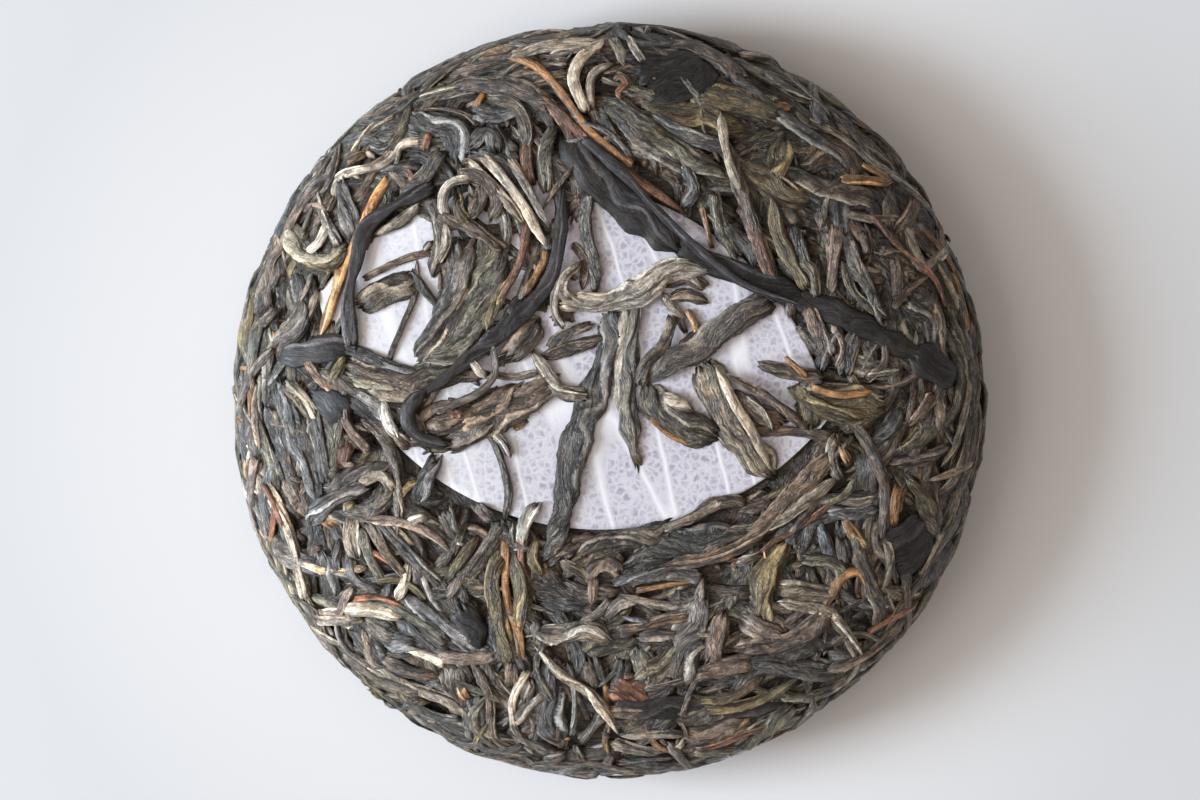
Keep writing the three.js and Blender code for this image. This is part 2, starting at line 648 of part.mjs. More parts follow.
function baseFill() {
  const kind = FILL.base;
  const taken = [];
  const leaves = [];
  while (leaves.length < kind.count) {
    const start = nextPlace(taken, () => {
      const spot = onDisc(CAKE_DIAMETER / 2 - kind.inFromRim);
      return onSurface(new THREE.Vector3(spot.x, spot.y, 0)).point;
    });
    const angle = sheafAngle(start) + THREE.MathUtils.degToRad(between(-kind.spread, kind.spread));
    leaves.push(fillLeaf(kind, start, new THREE.Vector3(Math.cos(angle), Math.sin(angle), 0)));
  }
  return leaves;
}

function fillSolid({ stops, width, top }) {
  return makeLeaf({ stops, width, thickness: FILL_THICKNESS, top, sides: FILL_SIDES });
}

// The broad leaves that lie lowest, evenly round the base
function restLeaves() {
  const leaves = [];
  for (let i = 0; i < REST_LEAF.count; i += 1) {
    const turn = Math.PI * ((2 * i) / REST_LEAF.count - 0.5);
    const heading = new THREE.Vector3(-Math.sin(turn), Math.cos(turn), 0);
    const middle = new THREE.Vector3(Math.cos(turn), Math.sin(turn), 0).multiplyScalar(REST_LEAF.ring);
    const stops = walk(middle.addScaledVector(heading, -REST_LEAF.length / 2), heading, REST_LEAF.length, 0);
    const { width, proud } = REST_LEAF;
    leaves.push(makeLeaf({ stops, width, thickness: FILL_THICKNESS, top: proud, sides: FILL_SIDES }));
  }
  return leaves;
}

// A sheet over the tag's lens between two depths under the surface
function tagSheet(upper, lower, grow) {
  const { along, across } = TAG_STEPS;
  const half = TAG_LENGTH / 2 + grow;
  const arc = TAG_ARC_RADIUS + grow;
  const drop = Math.sqrt(TAG_ARC_RADIUS ** 2 - (TAG_LENGTH / 2) ** 2);
  const block = new THREE.BoxGeometry(2, 2, 2, along, across, 1);
  const position = block.attributes.position;
  for (let i = 0; i < position.count; i += 1) {
    // Steps close up towards the tips, where the lens narrows
    const u = Math.sin((position.getX(i) * Math.PI) / 2) * half;
    const edge = Math.max(Math.sqrt(Math.max(arc * arc - u * u, 0)) - drop, TAG_TIP_HALF_WIDTH + grow);
    const v = position.getY(i) * edge;
    const x = TAG_CENTRE.x + u * Math.cos(TAG_TURN) - v * Math.sin(TAG_TURN);
    const y = TAG_CENTRE.y + u * Math.sin(TAG_TURN) + v * Math.cos(TAG_TURN);
    const seat = topPlace(x, y);
    const lift = position.getZ(i) > 0 ? upper : lower;
    position.setXYZ(i, x, y, seat.point.z + lift);
  }
  return solidOf(block);
}

function makeTag() {
  return tagSheet(-TAG_DEPTH, -TAG_DEPTH - TAG_THICKNESS, 0);
}

function tagClearance() {
  return tagSheet(-TAG_DEPTH + TAG_GAP, -TAG_DEPTH - TAG_THICKNESS - TAG_GAP, TAG_GAP);
}

// Everything under the resting plane, as a slab
function underFloor() {
  const slab = new THREE.BoxGeometry(2 * CAKE_DIAMETER, 2 * CAKE_DIAMETER, CAKE_HEIGHT);
  slab.translate(0, 0, REST_TRIM - CAKE_HEIGHT / 2);
  return solidOf(slab);
}

// The largest of a solid's separate bodies, without scraps or shut hollows
function largestBody(solid) {
  const bodies = solid.decompose();
  bodies.sort((a, b) => b.volume() - a.volume());
  return bodies[0];
}

function makeCake() {
  const placed = [...TAG_LEAVES, ...SURFACE_LEAVES];
  const leaves = placed.map(placedLeaf);
  const fill = [...topFill(placed), ...sideFill(), ...baseFill()].map(fillSolid);
  const whole = Manifold.union([makeCore(), ...leaves, ...fill]);
  const smooth = whole.asOriginal().simplify(SMOOTHING);
  const cut = smooth.subtract(tagClearance()).asOriginal().simplify(SLIVER);
  return largestBody(Manifold.union([cut, ...restLeaves()]).subtract(underFloor()));
}

// Sets a solid down on z = 0
function settled(solid) {
  return solid.translate([0, 0, -REST_TRIM]);
}

function meshOf(name, solid, finish) {
  const material = new THREE.MeshStandardMaterial({ ...finish, metalness: 0 });
  const mesh = new THREE.Mesh(geometryOf(solid), material);
  mesh.name = name;
  return mesh;
}

const cake = new THREE.Group();
cake.add(meshOf('tea_cake', settled(makeCake()), LEAF_FINISH));
cake.add(meshOf('paper_tag', settled(makeTag()), PAPER_FINISH));

export default cake;
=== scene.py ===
"""A small cake of pressed raw tea: rolled leaves, stalks, buds and crumbs, and a sunken paper tag."""

import logging
import math
from dataclasses import dataclass, field
from enum import Enum
from functools import reduce

import bpy
import numpy as np
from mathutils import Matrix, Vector


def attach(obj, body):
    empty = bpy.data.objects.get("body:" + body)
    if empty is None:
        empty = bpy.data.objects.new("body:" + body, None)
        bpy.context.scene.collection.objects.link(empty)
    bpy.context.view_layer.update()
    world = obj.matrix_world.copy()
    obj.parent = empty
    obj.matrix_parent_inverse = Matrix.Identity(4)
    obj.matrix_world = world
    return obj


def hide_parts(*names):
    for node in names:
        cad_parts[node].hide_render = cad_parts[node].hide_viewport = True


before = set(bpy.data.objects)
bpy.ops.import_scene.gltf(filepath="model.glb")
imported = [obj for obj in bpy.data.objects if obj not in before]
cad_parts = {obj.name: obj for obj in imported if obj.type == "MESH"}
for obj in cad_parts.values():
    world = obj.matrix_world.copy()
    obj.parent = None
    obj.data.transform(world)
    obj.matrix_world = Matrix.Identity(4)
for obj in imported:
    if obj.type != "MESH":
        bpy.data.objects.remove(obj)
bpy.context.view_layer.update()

log = logging.getLogger("tea_cake")

MM = 0.001
SEED = 5271

# Places read from the photograph are in its pixels, 1200 x 800, with y down
PHOTO_CENTRE = (609.0, 401.0)
PIXEL_MM = 0.1378

# Lengths taken as none
NO_LENGTH = 1e-9
ON_AXIS = 1e-6

Array = np.ndarray
Socket = bpy.types.NodeSocket
Colour = tuple[int, int, int]
Pair = tuple[float, float]
Triple = tuple[float, float, float]
Draws = np.random.Generator


class Kind(Enum):
    """The kinds of leaf, stalk and bud in the cake."""

    CHARCOAL = "charcoal"
    SLATE = "slate"
    GREEN = "green"
    BLACK = "black"
    OLIVE = "olive"
    BROWN = "brown"
    RED = "red"
    SILVER = "silver"
    STRAW = "straw"
    DOWNY = "downy"


class Lie(Enum):
    """How high a leaf lies in the pressed surface."""

    SUNK = "sunk"
    FLUSH = "flush"
    ON_TAG = "on_tag"
    CROSSING = "crossing"


class Zone(Enum):
    """The faces of the cake."""

    TOP = "top"
    SIDE = "side"
    BASE = "base"


CHARCOAL, SLATE, GREEN, BLACK, OLIVE, BROWN, RED, SILVER, STRAW, DOWNY = Kind
SUNK, FLUSH, ON_TAG, CROSSING = Lie
TOP, SIDE, BASE = Zone


@dataclass(frozen=True)
class Habit:
    """How one kind is rolled, broken and coloured.

    Its thickness is plump times its width, from flattest to thickest, in mm. Depths are shares of
    the half width, twist is in radians per mm, and colours are as the eye sees them, 0 to 255.
    """

    plump: float
    thickest: float
    folds: tuple[int, int]
    fold_depth: float
    wrinkles: tuple[int, int]
    wrinkle_depth: float
    twist: float
    seam: float
    pointed: float
    base: Colour
    # The ridges' colour: partly the leaf's own, partly painted highlight
    ridge: Colour
    # The folds' colour: painted shade
    groove: Colour
    flattest: float = 0.42

    def thickness(self, width: float) -> float:
        """How thick a leaf of some width is rolled, in mm."""
        return float(np.clip(width * self.plump, self.flattest, self.thickest))


HABITS = {
    CHARCOAL: Habit(
        plump=0.62, thickest=1.7, folds=(2, 4), fold_depth=0.38, wrinkles=(6, 10), wrinkle_depth=0.18,
        twist=0.1, seam=0.28, pointed=0.4,
        base=(71, 67, 63), ridge=(154, 145, 131), groove=(27, 24, 22),
    ),
    SLATE: Habit(
        plump=0.6, thickest=1.6, folds=(2, 4), fold_depth=0.36, wrinkles=(6, 10), wrinkle_depth=0.18,
        twist=0.09, seam=0.28, pointed=0.4,
        base=(63, 62, 61), ridge=(143, 142, 138), groove=(26, 25, 25),
    ),
    GREEN: Habit(
        plump=0.58, thickest=1.6, folds=(2, 4), fold_depth=0.36, wrinkles=(6, 10), wrinkle_depth=0.19,
        twist=0.08, seam=0.26, pointed=0.45,
        base=(74, 72, 63), ridge=(156, 150, 131), groove=(30, 28, 24),
    ),
    BLACK: Habit(
        plump=0.34, thickest=1.3, folds=(1, 2), fold_depth=0.14, wrinkles=(3, 6), wrinkle_depth=0.06,
        twist=0.02, seam=0.14, pointed=0.55,
        base=(37, 37, 40), ridge=(92, 90, 93), groove=(16, 16, 17),
    ),
    OLIVE: Habit(
        plump=0.42, thickest=1.5, folds=(1, 3), fold_depth=0.3, wrinkles=(6, 10), wrinkle_depth=0.18,
        twist=0.03, seam=0.22, pointed=0.5,
        base=(86, 77, 54), ridge=(154, 139, 100), groove=(37, 32, 24),
    ),
    BROWN: Habit(
        plump=0.52, thickest=1.5, folds=(2, 4), fold_depth=0.36, wrinkles=(6, 10), wrinkle_depth=0.19,
        twist=0.06, seam=0.26, pointed=0.4,
        base=(88, 76, 67), ridge=(170, 152, 132), groove=(34, 28, 25),
    ),
    RED: Habit(
        plump=0.68, thickest=1.5, folds=(1, 3), fold_depth=0.22, wrinkles=(5, 9), wrinkle_depth=0.14,
        twist=0.04, seam=0.16, pointed=0.3,
        base=(102, 69, 52), ridge=(168, 120, 90), groove=(42, 27, 21),
    ),
    SILVER: Habit(
        plump=0.52, thickest=1.4, folds=(2, 4), fold_depth=0.4, wrinkles=(6, 10), wrinkle_depth=0.2,
        twist=0.04, seam=0.26, pointed=0.45,
        base=(129, 120, 105), ridge=(214, 203, 182), groove=(54, 47, 39),
    ),
    STRAW: Habit(
        plump=0.8, thickest=1.4, folds=(1, 2), fold_depth=0.16, wrinkles=(5, 9), wrinkle_depth=0.1,
        twist=0.03, seam=0.1, pointed=0.15,
        base=(140, 104, 66), ridge=(200, 160, 110), groove=(70, 48, 31),
    ),
    DOWNY: Habit(
        plump=0.6, thickest=1.4, folds=(2, 3), fold_depth=0.26, wrinkles=(5, 9), wrinkle_depth=0.13,
        twist=0.03, seam=0.18, pointed=0.6,
        base=(166, 156, 138), ridge=(220, 211, 192), groove=(94, 83, 70),
    ),
}


@dataclass(frozen=True)
class Seen:
    """A leaf read from the photograph: its kind, width and path in pixels, and how it lies."""

    kind: Kind
    width: float
    lie: Lie
    path: tuple[Pair, ...]


def seen(kind: Kind, width: float, lie: Lie, *path: Pair) -> Seen:
    """Notes one leaf of the photograph.

    Args:
        kind: What sort of leaf it is.
        width: Its width in pixels.
        lie: How high it lies.
        path: The pixels along its middle.

    Returns:
        The note.
    """
    return Seen(kind, width, lie, path)


# The leaves read from the photograph, place by place
LEAVES_SEEN = (
    # Long flat leaf crossing the tag
    seen(BLACK, 34, ON_TAG, (562, 134), (598, 180), (640, 217), (678, 250)),
    seen(BLACK, 24, ON_TAG, (668, 238), (700, 260), (750, 278), (805, 300)),
    seen(BLACK, 9, CROSSING, (584, 140), (624, 176), (660, 214), (700, 252), (745, 286), (800, 306)),
    seen(BLACK, 26, FLUSH, (795, 298), (840, 314), (890, 342), (935, 362)),
    seen(BLACK, 34, FLUSH, (912, 352), (935, 366), (960, 384)),
    # Two long stalks beside it
    seen(STRAW, 9, FLUSH, (505, 53), (535, 64), (565, 98), (590, 132), (632, 166)),
    seen(RED, 10, FLUSH, (522, 72), (552, 106), (600, 152), (645, 186), (684, 213)),
    # Leaf that crosses from the right and folds at its end
    seen(CHARCOAL, 24, CROSSING, (768, 302), (722, 330), (680, 358), (642, 384)),
    seen(CHARCOAL, 28, ON_TAG, (644, 380), (660, 410), (690, 428), (716, 436)),
    seen(STRAW, 5, ON_TAG, (650, 420), (672, 438), (700, 446)),
    seen(CHARCOAL, 11, CROSSING, (672, 318), (664, 345), (646, 364), (640, 386)),
    # Pale tan leaf in the middle, with its hook
    seen(SILVER, 22, CROSSING, (560, 302), (600, 304), (640, 292), (668, 271), (706, 272)),
    seen(DOWNY, 9, CROSSING, (578, 296), (606, 298), (640, 285), (666, 266)),
    seen(SILVER, 10, CROSSING, (580, 264), (564, 278), (562, 294), (578, 305)),
    seen(SILVER, 9, CROSSING, (570, 270), (556, 290), (554, 312), (563, 328)),
    # Hanging pale bud
    seen(SILVER, 17, ON_TAG, (640, 298), (632, 335), (627, 380), (630, 425), (636, 466)),
    seen(DOWNY, 9, ON_TAG, (626, 306), (620, 350), (619, 395), (626, 428)),
    seen(OLIVE, 8, ON_TAG, (630, 440), (636, 458), (642, 466)),
    # Dark strip to the lower edge of the tag
    seen(SLATE, 24, ON_TAG, (614, 314), (604, 362), (586, 412), (570, 462), (562, 515), (550, 545)),
    # Thin stalk down the left of the tag
    seen(CHARCOAL, 8, ON_TAG, (472, 398), (478, 420), (496, 448), (508, 492), (502, 530)),
    seen(CHARCOAL, 14, FLUSH, (501, 528), (482, 556), (462, 582), (442, 604)),
    seen(SILVER, 8, ON_TAG, (490, 432), (503, 444), (510, 458)),
    seen(CHARCOAL, 7, CROSSING, (487, 335), (494, 356), (493, 378), (474, 396), (436, 412)),
    seen(DOWNY, 9, CROSSING, (472, 362), (480, 373), (486, 378)),
    seen(DOWNY, 8, ON_TAG, (494, 376), (515, 378), (542, 372)),
    seen(SILVER, 14, ON_TAG, (532, 352), (545, 370), (560, 392), (586, 397)),
    seen(BROWN, 26, ON_TAG, (538, 322), (522, 342), (508, 354)),
    seen(BROWN, 10, ON_TAG, (538, 358), (568, 350), (604, 338)),
    seen(CHARCOAL, 14, ON_TAG, (546, 350), (566, 334), (592, 326)),
    seen(BROWN, 26, ON_TAG, (556, 380), (518, 406), (484, 430)),
    seen(BROWN, 22, ON_TAG, (520, 385), (482, 412), (452, 436)),
    # Crumpled bud on the tag
    seen(BROWN, 13, ON_TAG, (662, 286), (684, 278), (706, 288)),
    seen(BROWN, 12, ON_TAG, (668, 300), (686, 296), (708, 304)),
    seen(SILVER, 8, ON_TAG, (664, 296), (674, 310), (684, 318)),
    seen(STRAW, 8, ON_TAG, (688, 312), (695, 326), (698, 340)),
    seen(BROWN, 8, ON_TAG, (676, 312), (682, 326), (686, 334)),
    # Broad pale leaf and curled dark one to the right of the tag
    seen(SILVER, 28, ON_TAG, (704, 366), (720, 404), (742, 442), (772, 474)),
    seen(DOWNY, 10, CROSSING, (716, 368), (734, 404), (754, 436), (770, 470)),
    seen(DOWNY, 11, ON_TAG, (664, 396), (676, 404), (692, 412)),
    seen(BROWN, 22, ON_TAG, (734, 398), (756, 412), (784, 424)),
    seen(BROWN, 9, CROSSING, (728, 376), (766, 398), (806, 428)),
    seen(SILVER, 7, CROSSING, (748, 398), (762, 412), (772, 430)),
    seen(BROWN, 10, ON_TAG, (750, 432), (790, 432), (832, 438)),
    seen(BROWN, 14, ON_TAG, (760, 366), (790, 374), (822, 380)),
    seen(STRAW, 6, CROSSING, (785, 358), (796, 368), (806, 378)),
    seen(OLIVE, 30, ON_TAG, (800, 396), (836, 404), (884, 402)),
    seen(STRAW, 7, CROSSING, (812, 388), (840, 396), (872, 392)),
    seen(OLIVE, 11, CROSSING, (806, 400), (832, 414), (862, 416)),
    seen(OLIVE, 22, ON_TAG, (800, 384), (812, 402), (806, 430)),
    seen(BROWN, 9, ON_TAG, (796, 383), (850, 389), (900, 385), (922, 370), (906, 356)),
    # Left of the tag
    seen(STRAW, 12, FLUSH, (384, 176), (362, 222), (340, 276), (326, 314), (318, 338)),
    seen(BLACK, 14, CROSSING, (430, 188), (392, 208), (366, 228), (356, 262), (348, 300), (350, 346)),
    seen(SLATE, 7, ON_TAG, (350, 282), (344, 312), (350, 346)),
    seen(SILVER, 10, ON_TAG, (418, 206), (398, 222), (374, 234)),
    seen(CHARCOAL, 26, ON_TAG, (416, 282), (388, 290), (356, 306)),
    seen(BROWN, 7, ON_TAG, (432, 252), (398, 262), (360, 280)),
    seen(CHARCOAL, 6, ON_TAG, (416, 262), (414, 296), (400, 330), (386, 366)),
    seen(SLATE, 9, ON_TAG, (410, 272), (428, 296), (446, 316)),
    # Sweeping leaves left of the middle
    seen(BLACK, 24, ON_TAG, (270, 354), (296, 356), (330, 348), (352, 354)),
    seen(SLATE, 11, ON_TAG, (330, 346), (356, 352), (392, 368), (430, 378)),
    seen(CHARCOAL, 26, ON_TAG, (346, 366), (374, 376), (402, 384), (428, 384)),
    seen(OLIVE, 9, ON_TAG, (322, 360), (356, 368), (390, 382), (420, 388)),
    seen(CHARCOAL, 20, ON_TAG, (318, 376), (352, 388), (386, 398), (424, 400)),
    seen(GREEN, 34, ON_TAG, (398, 386), (440, 366), (470, 326), (486, 284), (492, 236)),
    seen(CHARCOAL, 32, ON_TAG, (414, 366), (438, 334), (456, 296), (466, 240)),
    seen(BROWN, 12, ON_TAG, (428, 366), (452, 330), (468, 290)),
    seen(BLACK, 14, CROSSING, (562, 190), (560, 236), (548, 284), (510, 326), (466, 362), (420, 398)),
    seen(BLACK, 13, CROSSING, (426, 392), (410, 406), (408, 424), (420, 438), (446, 446)),
    seen(RED, 7, CROSSING, (448, 410), (455, 415), (463, 411)),
    seen(RED, 6, CROSSING, (450, 420), (456, 412), (460, 420)),
    seen(BROWN, 16, ON_TAG, (420, 430), (446, 426), (472, 412)),
    seen(CHARCOAL, 20, ON_TAG, (448, 444), (470, 436), (492, 424)),
    seen(OLIVE, 14, CROSSING, (508, 282), (496, 306), (484, 328)),
    seen(RED, 9, CROSSING, (528, 222), (520, 262), (504, 292), (486, 322)),
    seen(OLIVE, 9, CROSSING, (500, 300), (490, 318), (486, 330)),
    seen(CHARCOAL, 16, ON_TAG, (430, 196), (440, 236), (432, 276)),
    seen(SILVER, 8, CROSSING, (446, 224), (446, 246), (438, 262)),
    seen(BROWN, 12, ON_TAG, (446, 262), (448, 280), (440, 292)),
    seen(SLATE, 12, ON_TAG, (520, 302), (500, 330), (470, 352)),
    seen(CHARCOAL, 14, ON_TAG, (500, 252), (490, 284), (470, 316)),
    seen(SLATE, 16, ON_TAG, (456, 244), (452, 282), (436, 316)),
    # Ring curl and the striped pale leaf above it
    seen(SILVER, 10, CROSSING, (470, 178), (450, 184), (442, 200), (446, 218)),
    seen(BROWN, 12, CROSSING, (462, 172), (484, 180), (497, 200), (490, 220)),
    seen(BROWN, 16, CROSSING, (484, 182), (480, 202), (470, 218)),
    seen(OLIVE, 13, CROSSING, (458, 196), (458, 212), (470, 226)),
    seen(BROWN, 15, CROSSING, (438, 220), (468, 226), (502, 250)),
    seen(SILVER, 10, CROSSING, (468, 162), (502, 198), (524, 226)),
    seen(DOWNY, 9, CROSSING, (484, 158), (516, 196), (545, 246)),
    seen(SILVER, 9, CROSSING, (510, 160), (528, 190), (548, 226)),
    seen(SILVER, 10, ON_TAG, (462, 176), (494, 196), (506, 232), (500, 262)),
    seen(SILVER, 8, ON_TAG, (540, 238), (530, 268), (520, 300)),
    seen(STRAW, 9, ON_TAG, (546, 252), (540, 270), (524, 296)),
    seen(BLACK, 14, ON_TAG, (550, 176), (562, 206), (556, 240)),
    seen(CHARCOAL, 11, ON_TAG, (588, 196), (586, 230), (594, 262), (594, 292)),
    seen(BROWN, 8, ON_TAG, (572, 244), (584, 262), (582, 290)),
    # Top left
    seen(DOWNY, 9, FLUSH, (328, 200), (334, 178), (352, 170), (380, 164), (400, 144), (420, 140)),
    seen(DOWNY, 10, FLUSH, (302, 252), (316, 244), (326, 224)),
    seen(SILVER, 12, SUNK, (346, 128), (372, 108), (420, 92), (462, 84)),
    seen(CHARCOAL, 17, FLUSH, (440, 84), (480, 82), (520, 88), (548, 104)),
    seen(SLATE, 30, FLUSH, (376, 132), (410, 122), (452, 130), (462, 160)),
    seen(CHARCOAL, 12, FLUSH, (486, 94), (516, 106), (526, 136), (520, 160)),
    seen(STRAW, 7, SUNK, (484, 88), (474, 106)),
    seen(SLATE, 22, SUNK, (470, 112), (500, 114), (520, 108)),
    seen(RED, 11, FLUSH, (527, 142), (526, 164), (530, 184)),
    seen(GREEN, 14, FLUSH, (552, 128), (544, 154), (546, 190)),
    seen(SLATE, 18, FLUSH, (470, 146), (486, 134), (496, 152)),
    seen(CHARCOAL, 20, FLUSH, (340, 182), (346, 212), (350, 240)),
    seen(STRAW, 10, SUNK, (342, 160), (352, 154), (362, 150)),
    seen(SLATE, 14, SUNK, (366, 132), (378, 146), (392, 142)),
    seen(RED, 10, FLUSH, (428, 132), (424, 150)),
    seen(CHARCOAL, 15, FLUSH, (398, 196), (424, 176), (440, 150)),
    seen(BROWN, 18, SUNK, (296, 208), (312, 206), (322, 216)),
    seen(GREEN, 22, FLUSH, (282, 226), (300, 258), (330, 262), (344, 244)),
    seen(OLIVE, 9, FLUSH, (300, 262), (326, 268), (346, 252)),
    # Top
    seen(DOWNY, 11, CROSSING, (512, 54), (545, 46), (582, 42), (602, 44)),
    seen(SILVER, 8, CROSSING, (552, 54), (580, 50), (600, 50)),
    seen(DOWNY, 11, CROSSING, (604, 40), (582, 58), (573, 80), (586, 110)),
    seen(DOWNY, 10, FLUSH, (614, 60), (592, 76), (590, 106)),
    seen(SILVER, 9, CROSSING, (612, 36), (618, 48), (624, 64)),
    seen(SILVER, 8, CROSSING, (628, 36), (634, 50), (642, 62)),
    seen(RED, 6, FLUSH, (612, 80), (620, 76), (626, 84), (618, 92), (620, 100)),
    seen(BLACK, 40, SUNK, (646, 100), (678, 82), (716, 66)),
    seen(BLACK, 30, SUNK, (634, 64), (670, 58), (700, 52)),
    seen(OLIVE, 30, SUNK, (648, 108), (700, 116), (752, 128)),
    seen(OLIVE, 24, FLUSH, (704, 96), (740, 102), (778, 108)),
    seen(DOWNY, 10, CROSSING, (721, 114), (724, 142), (730, 168), (740, 192)),
    seen(OLIVE, 20, FLUSH, (786, 136), (780, 158), (774, 180)),
    seen(OLIVE, 24, FLUSH, (736, 164), (764, 178), (788, 196), (818, 198)),
    seen(SLATE, 13, FLUSH, (736, 74), (776, 108), (816, 138), (856, 172)),
    seen(SILVER, 9, FLUSH, (812, 118), (842, 134), (876, 162), (902, 176)),
    seen(STRAW, 9, FLUSH, (866, 164), (892, 180), (842, 178)),
    seen(GREEN, 22, FLUSH, (600, 92), (640, 124), (690, 156), (730, 180)),
    seen(CHARCOAL, 18, FLUSH, (618, 108), (650, 150), (690, 176)),
    seen(SLATE, 16, FLUSH, (650, 112), (694, 136), (730, 150)),
    seen(SILVER, 15, SUNK, (622, 146), (650, 152), (676, 164)),
    seen(CHARCOAL, 26, SUNK, (790, 180), (830, 190), (880, 200)),
    seen(BROWN, 26, SUNK, (800, 160), (840, 150), (870, 170)),
    # Slanting strands right of the tag
    seen(SLATE, 13, FLUSH, (684, 164), (694, 190), (684, 208)),
    seen(STRAW, 6, FLUSH, (702, 208), (708, 232), (712, 248)),
    seen(GREEN, 13, FLUSH, (714, 196), (722, 230), (738, 258)),
    seen(CHARCOAL, 14, FLUSH, (730, 150), (742, 192), (762, 250)),
    seen(SLATE, 12, FLUSH, (724, 226), (744, 244), (758, 264)),
    seen(RED, 12, FLUSH, (744, 206), (756, 238), (772, 280)),
    seen(OLIVE, 15, FLUSH, (772, 198), (780, 240), (806, 288)),
    seen(CHARCOAL, 15, FLUSH, (792, 226), (806, 262), (812, 288)),
    seen(SILVER, 10, FLUSH, (800, 262), (812, 272), (816, 296)),
    seen(BROWN, 17, FLUSH, (836, 226), (834, 262), (832, 296)),
    seen(SLATE, 11, FLUSH, (846, 236), (856, 268), (880, 310)),
    seen(SILVER, 8, FLUSH, (850, 238), (862, 270), (878, 302)),
    seen(GREEN, 10, FLUSH, (842, 262), (856, 294), (888, 318)),
    seen(BROWN, 9, FLUSH, (862, 232), (868, 254)),
    seen(RED, 6, FLUSH, (874, 216), (906, 252), (934, 276), (952, 306)),
    seen(BROWN, 6, FLUSH, (894, 308), (912, 288), (930, 276)),
    seen(SILVER, 13, FLUSH, (910, 222), (916, 252), (930, 268), (952, 246)),
    seen(CHARCOAL, 26, SUNK, (880, 246), (906, 260), (920, 270)),
    seen(SLATE, 16, FLUSH, (838, 330), (826, 352), (820, 372)),
    seen(CHARCOAL, 14, FLUSH, (856, 330), (850, 352), (846, 374)),
    seen(BROWN, 10, FLUSH, (832, 324), (842, 346), (838, 368)),
    seen(BROWN, 16, ON_TAG, (806, 306), (818, 330), (832, 356)),
    seen(BROWN, 8, FLUSH, (886, 346), (884, 366), (868, 380)),
    seen(SILVER, 7, FLUSH, (868, 376), (900, 372)),
    seen(SLATE, 26, SUNK, (912, 300), (934, 318), (936, 346)),
    seen(GREEN, 18, SUNK, (955, 330), (968, 372), (960, 412), (926, 440), (890, 456)),
    seen(SILVER, 8, FLUSH, (976, 366), (968, 410), (958, 446), (946, 468)),
    seen(SILVER, 9, FLUSH, (984, 462), (956, 474), (932, 482)),
    seen(BROWN, 14, FLUSH, (936, 396), (924, 410), (912, 424)),
    # Lower right
    seen(BROWN, 11, FLUSH, (856, 424), (874, 456), (886, 492), (884, 540)),
    seen(SILVER, 8, ON_TAG, (882, 516), (876, 544), (894, 570), (904, 588)),
    seen(CHARCOAL, 20, FLUSH, (868, 504), (862, 552), (876, 592), (884, 640)),
    seen(BLACK, 46, SUNK, (892, 562), (912, 548), (932, 528)),
    seen(DOWNY, 8, FLUSH, (842, 502), (860, 504), (880, 498)),
    seen(OLIVE, 8, FLUSH, (856, 480), (846, 496), (830, 504)),
    seen(STRAW, 12, FLUSH, (894, 530), (896, 500), (902, 486)),
    seen(OLIVE, 14, FLUSH, (910, 480), (926, 500), (938, 520)),
    seen(SLATE, 16, FLUSH, (824, 510), (850, 516), (878, 512)),
    seen(SILVER, 13, FLUSH, (836, 436), (832, 462), (840, 480)),
    seen(STRAW, 9, FLUSH, (840, 446), (848, 462)),
    seen(BROWN, 20, FLUSH, (832, 456), (804, 484), (772, 516)),
    seen(SILVER, 11, FLUSH, (838, 478), (806, 502), (780, 522), (748, 530)),
    seen(BROWN, 15, FLUSH, (800, 474), (776, 510), (750, 540), (716, 557), (660, 568)),
    seen(CHARCOAL, 22, FLUSH, (574, 562), (600, 546), (650, 536), (668, 528)),
    seen(SLATE, 28, SUNK, (640, 546), (690, 544), (736, 532)),
    seen(SILVER, 11, FLUSH, (664, 530), (694, 518), (722, 502)),
    seen(BROWN, 14, SUNK, (700, 508), (730, 502), (744, 504)),
    seen(OLIVE, 24, FLUSH, (768, 620), (764, 592), (772, 568), (788, 544)),
    seen(SILVER, 17, FLUSH, (778, 588), (806, 594), (842, 598)),
    seen(SILVER, 12, FLUSH, (780, 604), (812, 608), (838, 616)),
    seen(STRAW, 10, FLUSH, (818, 622), (830, 600), (844, 578), (860, 574), (872, 592)),
    seen(SILVER, 13, FLUSH, (832, 616), (850, 640), (864, 666)),
    seen(GREEN, 16, FLUSH, (806, 560), (836, 566), (850, 590)),
    seen(CHARCOAL, 14, FLUSH, (842, 540), (848, 566)),
    seen(STRAW, 9, FLUSH, (846, 522), (866, 548)),
    seen(SILVER, 9, FLUSH, (622, 596), (660, 606), (694, 604), (702, 582)),
    seen(STRAW, 8, FLUSH, (636, 592), (668, 586), (696, 580)),
    seen(SLATE, 12, FLUSH, (612, 584), (660, 576), (700, 578)),
    seen(BROWN, 12, FLUSH, (620, 634), (660, 622), (700, 616)),
    seen(CHARCOAL, 28, FLUSH, (700, 600), (690, 640), (680, 686)),
    seen(BROWN, 22, FLUSH, (724, 612), (716, 640), (708, 664)),
    seen(BROWN, 24, FLUSH, (744, 620), (766, 632), (790, 640)),
    seen(BROWN, 16, FLUSH, (836, 606), (800, 640), (740, 650)),
    seen(BROWN, 16, FLUSH, (684, 682), (720, 670), (756, 662)),
    seen(OLIVE, 11, FLUSH, (700, 706), (732, 700), (764, 680)),
    seen(OLIVE, 12, FLUSH, (704, 714), (756, 706), (802, 682)),
    seen(SLATE, 20, SUNK, (744, 664), (800, 672), (852, 682)),
    seen(BLACK, 24, SUNK, (612, 716), (670, 712), (740, 716), (790, 712)),
    seen(BROWN, 32, SUNK, (676, 736), (720, 736), (758, 734)),
    seen(SILVER, 9, SUNK, (620, 742), (660, 738), (690, 740)),
    seen(SILVER, 12, SUNK, (614, 748), (640, 756), (664, 758)),
    seen(DOWNY, 11, SUNK, (684, 746), (672, 760)),
    seen(GREEN, 20, SUNK, (640, 650), (646, 668), (652, 690)),
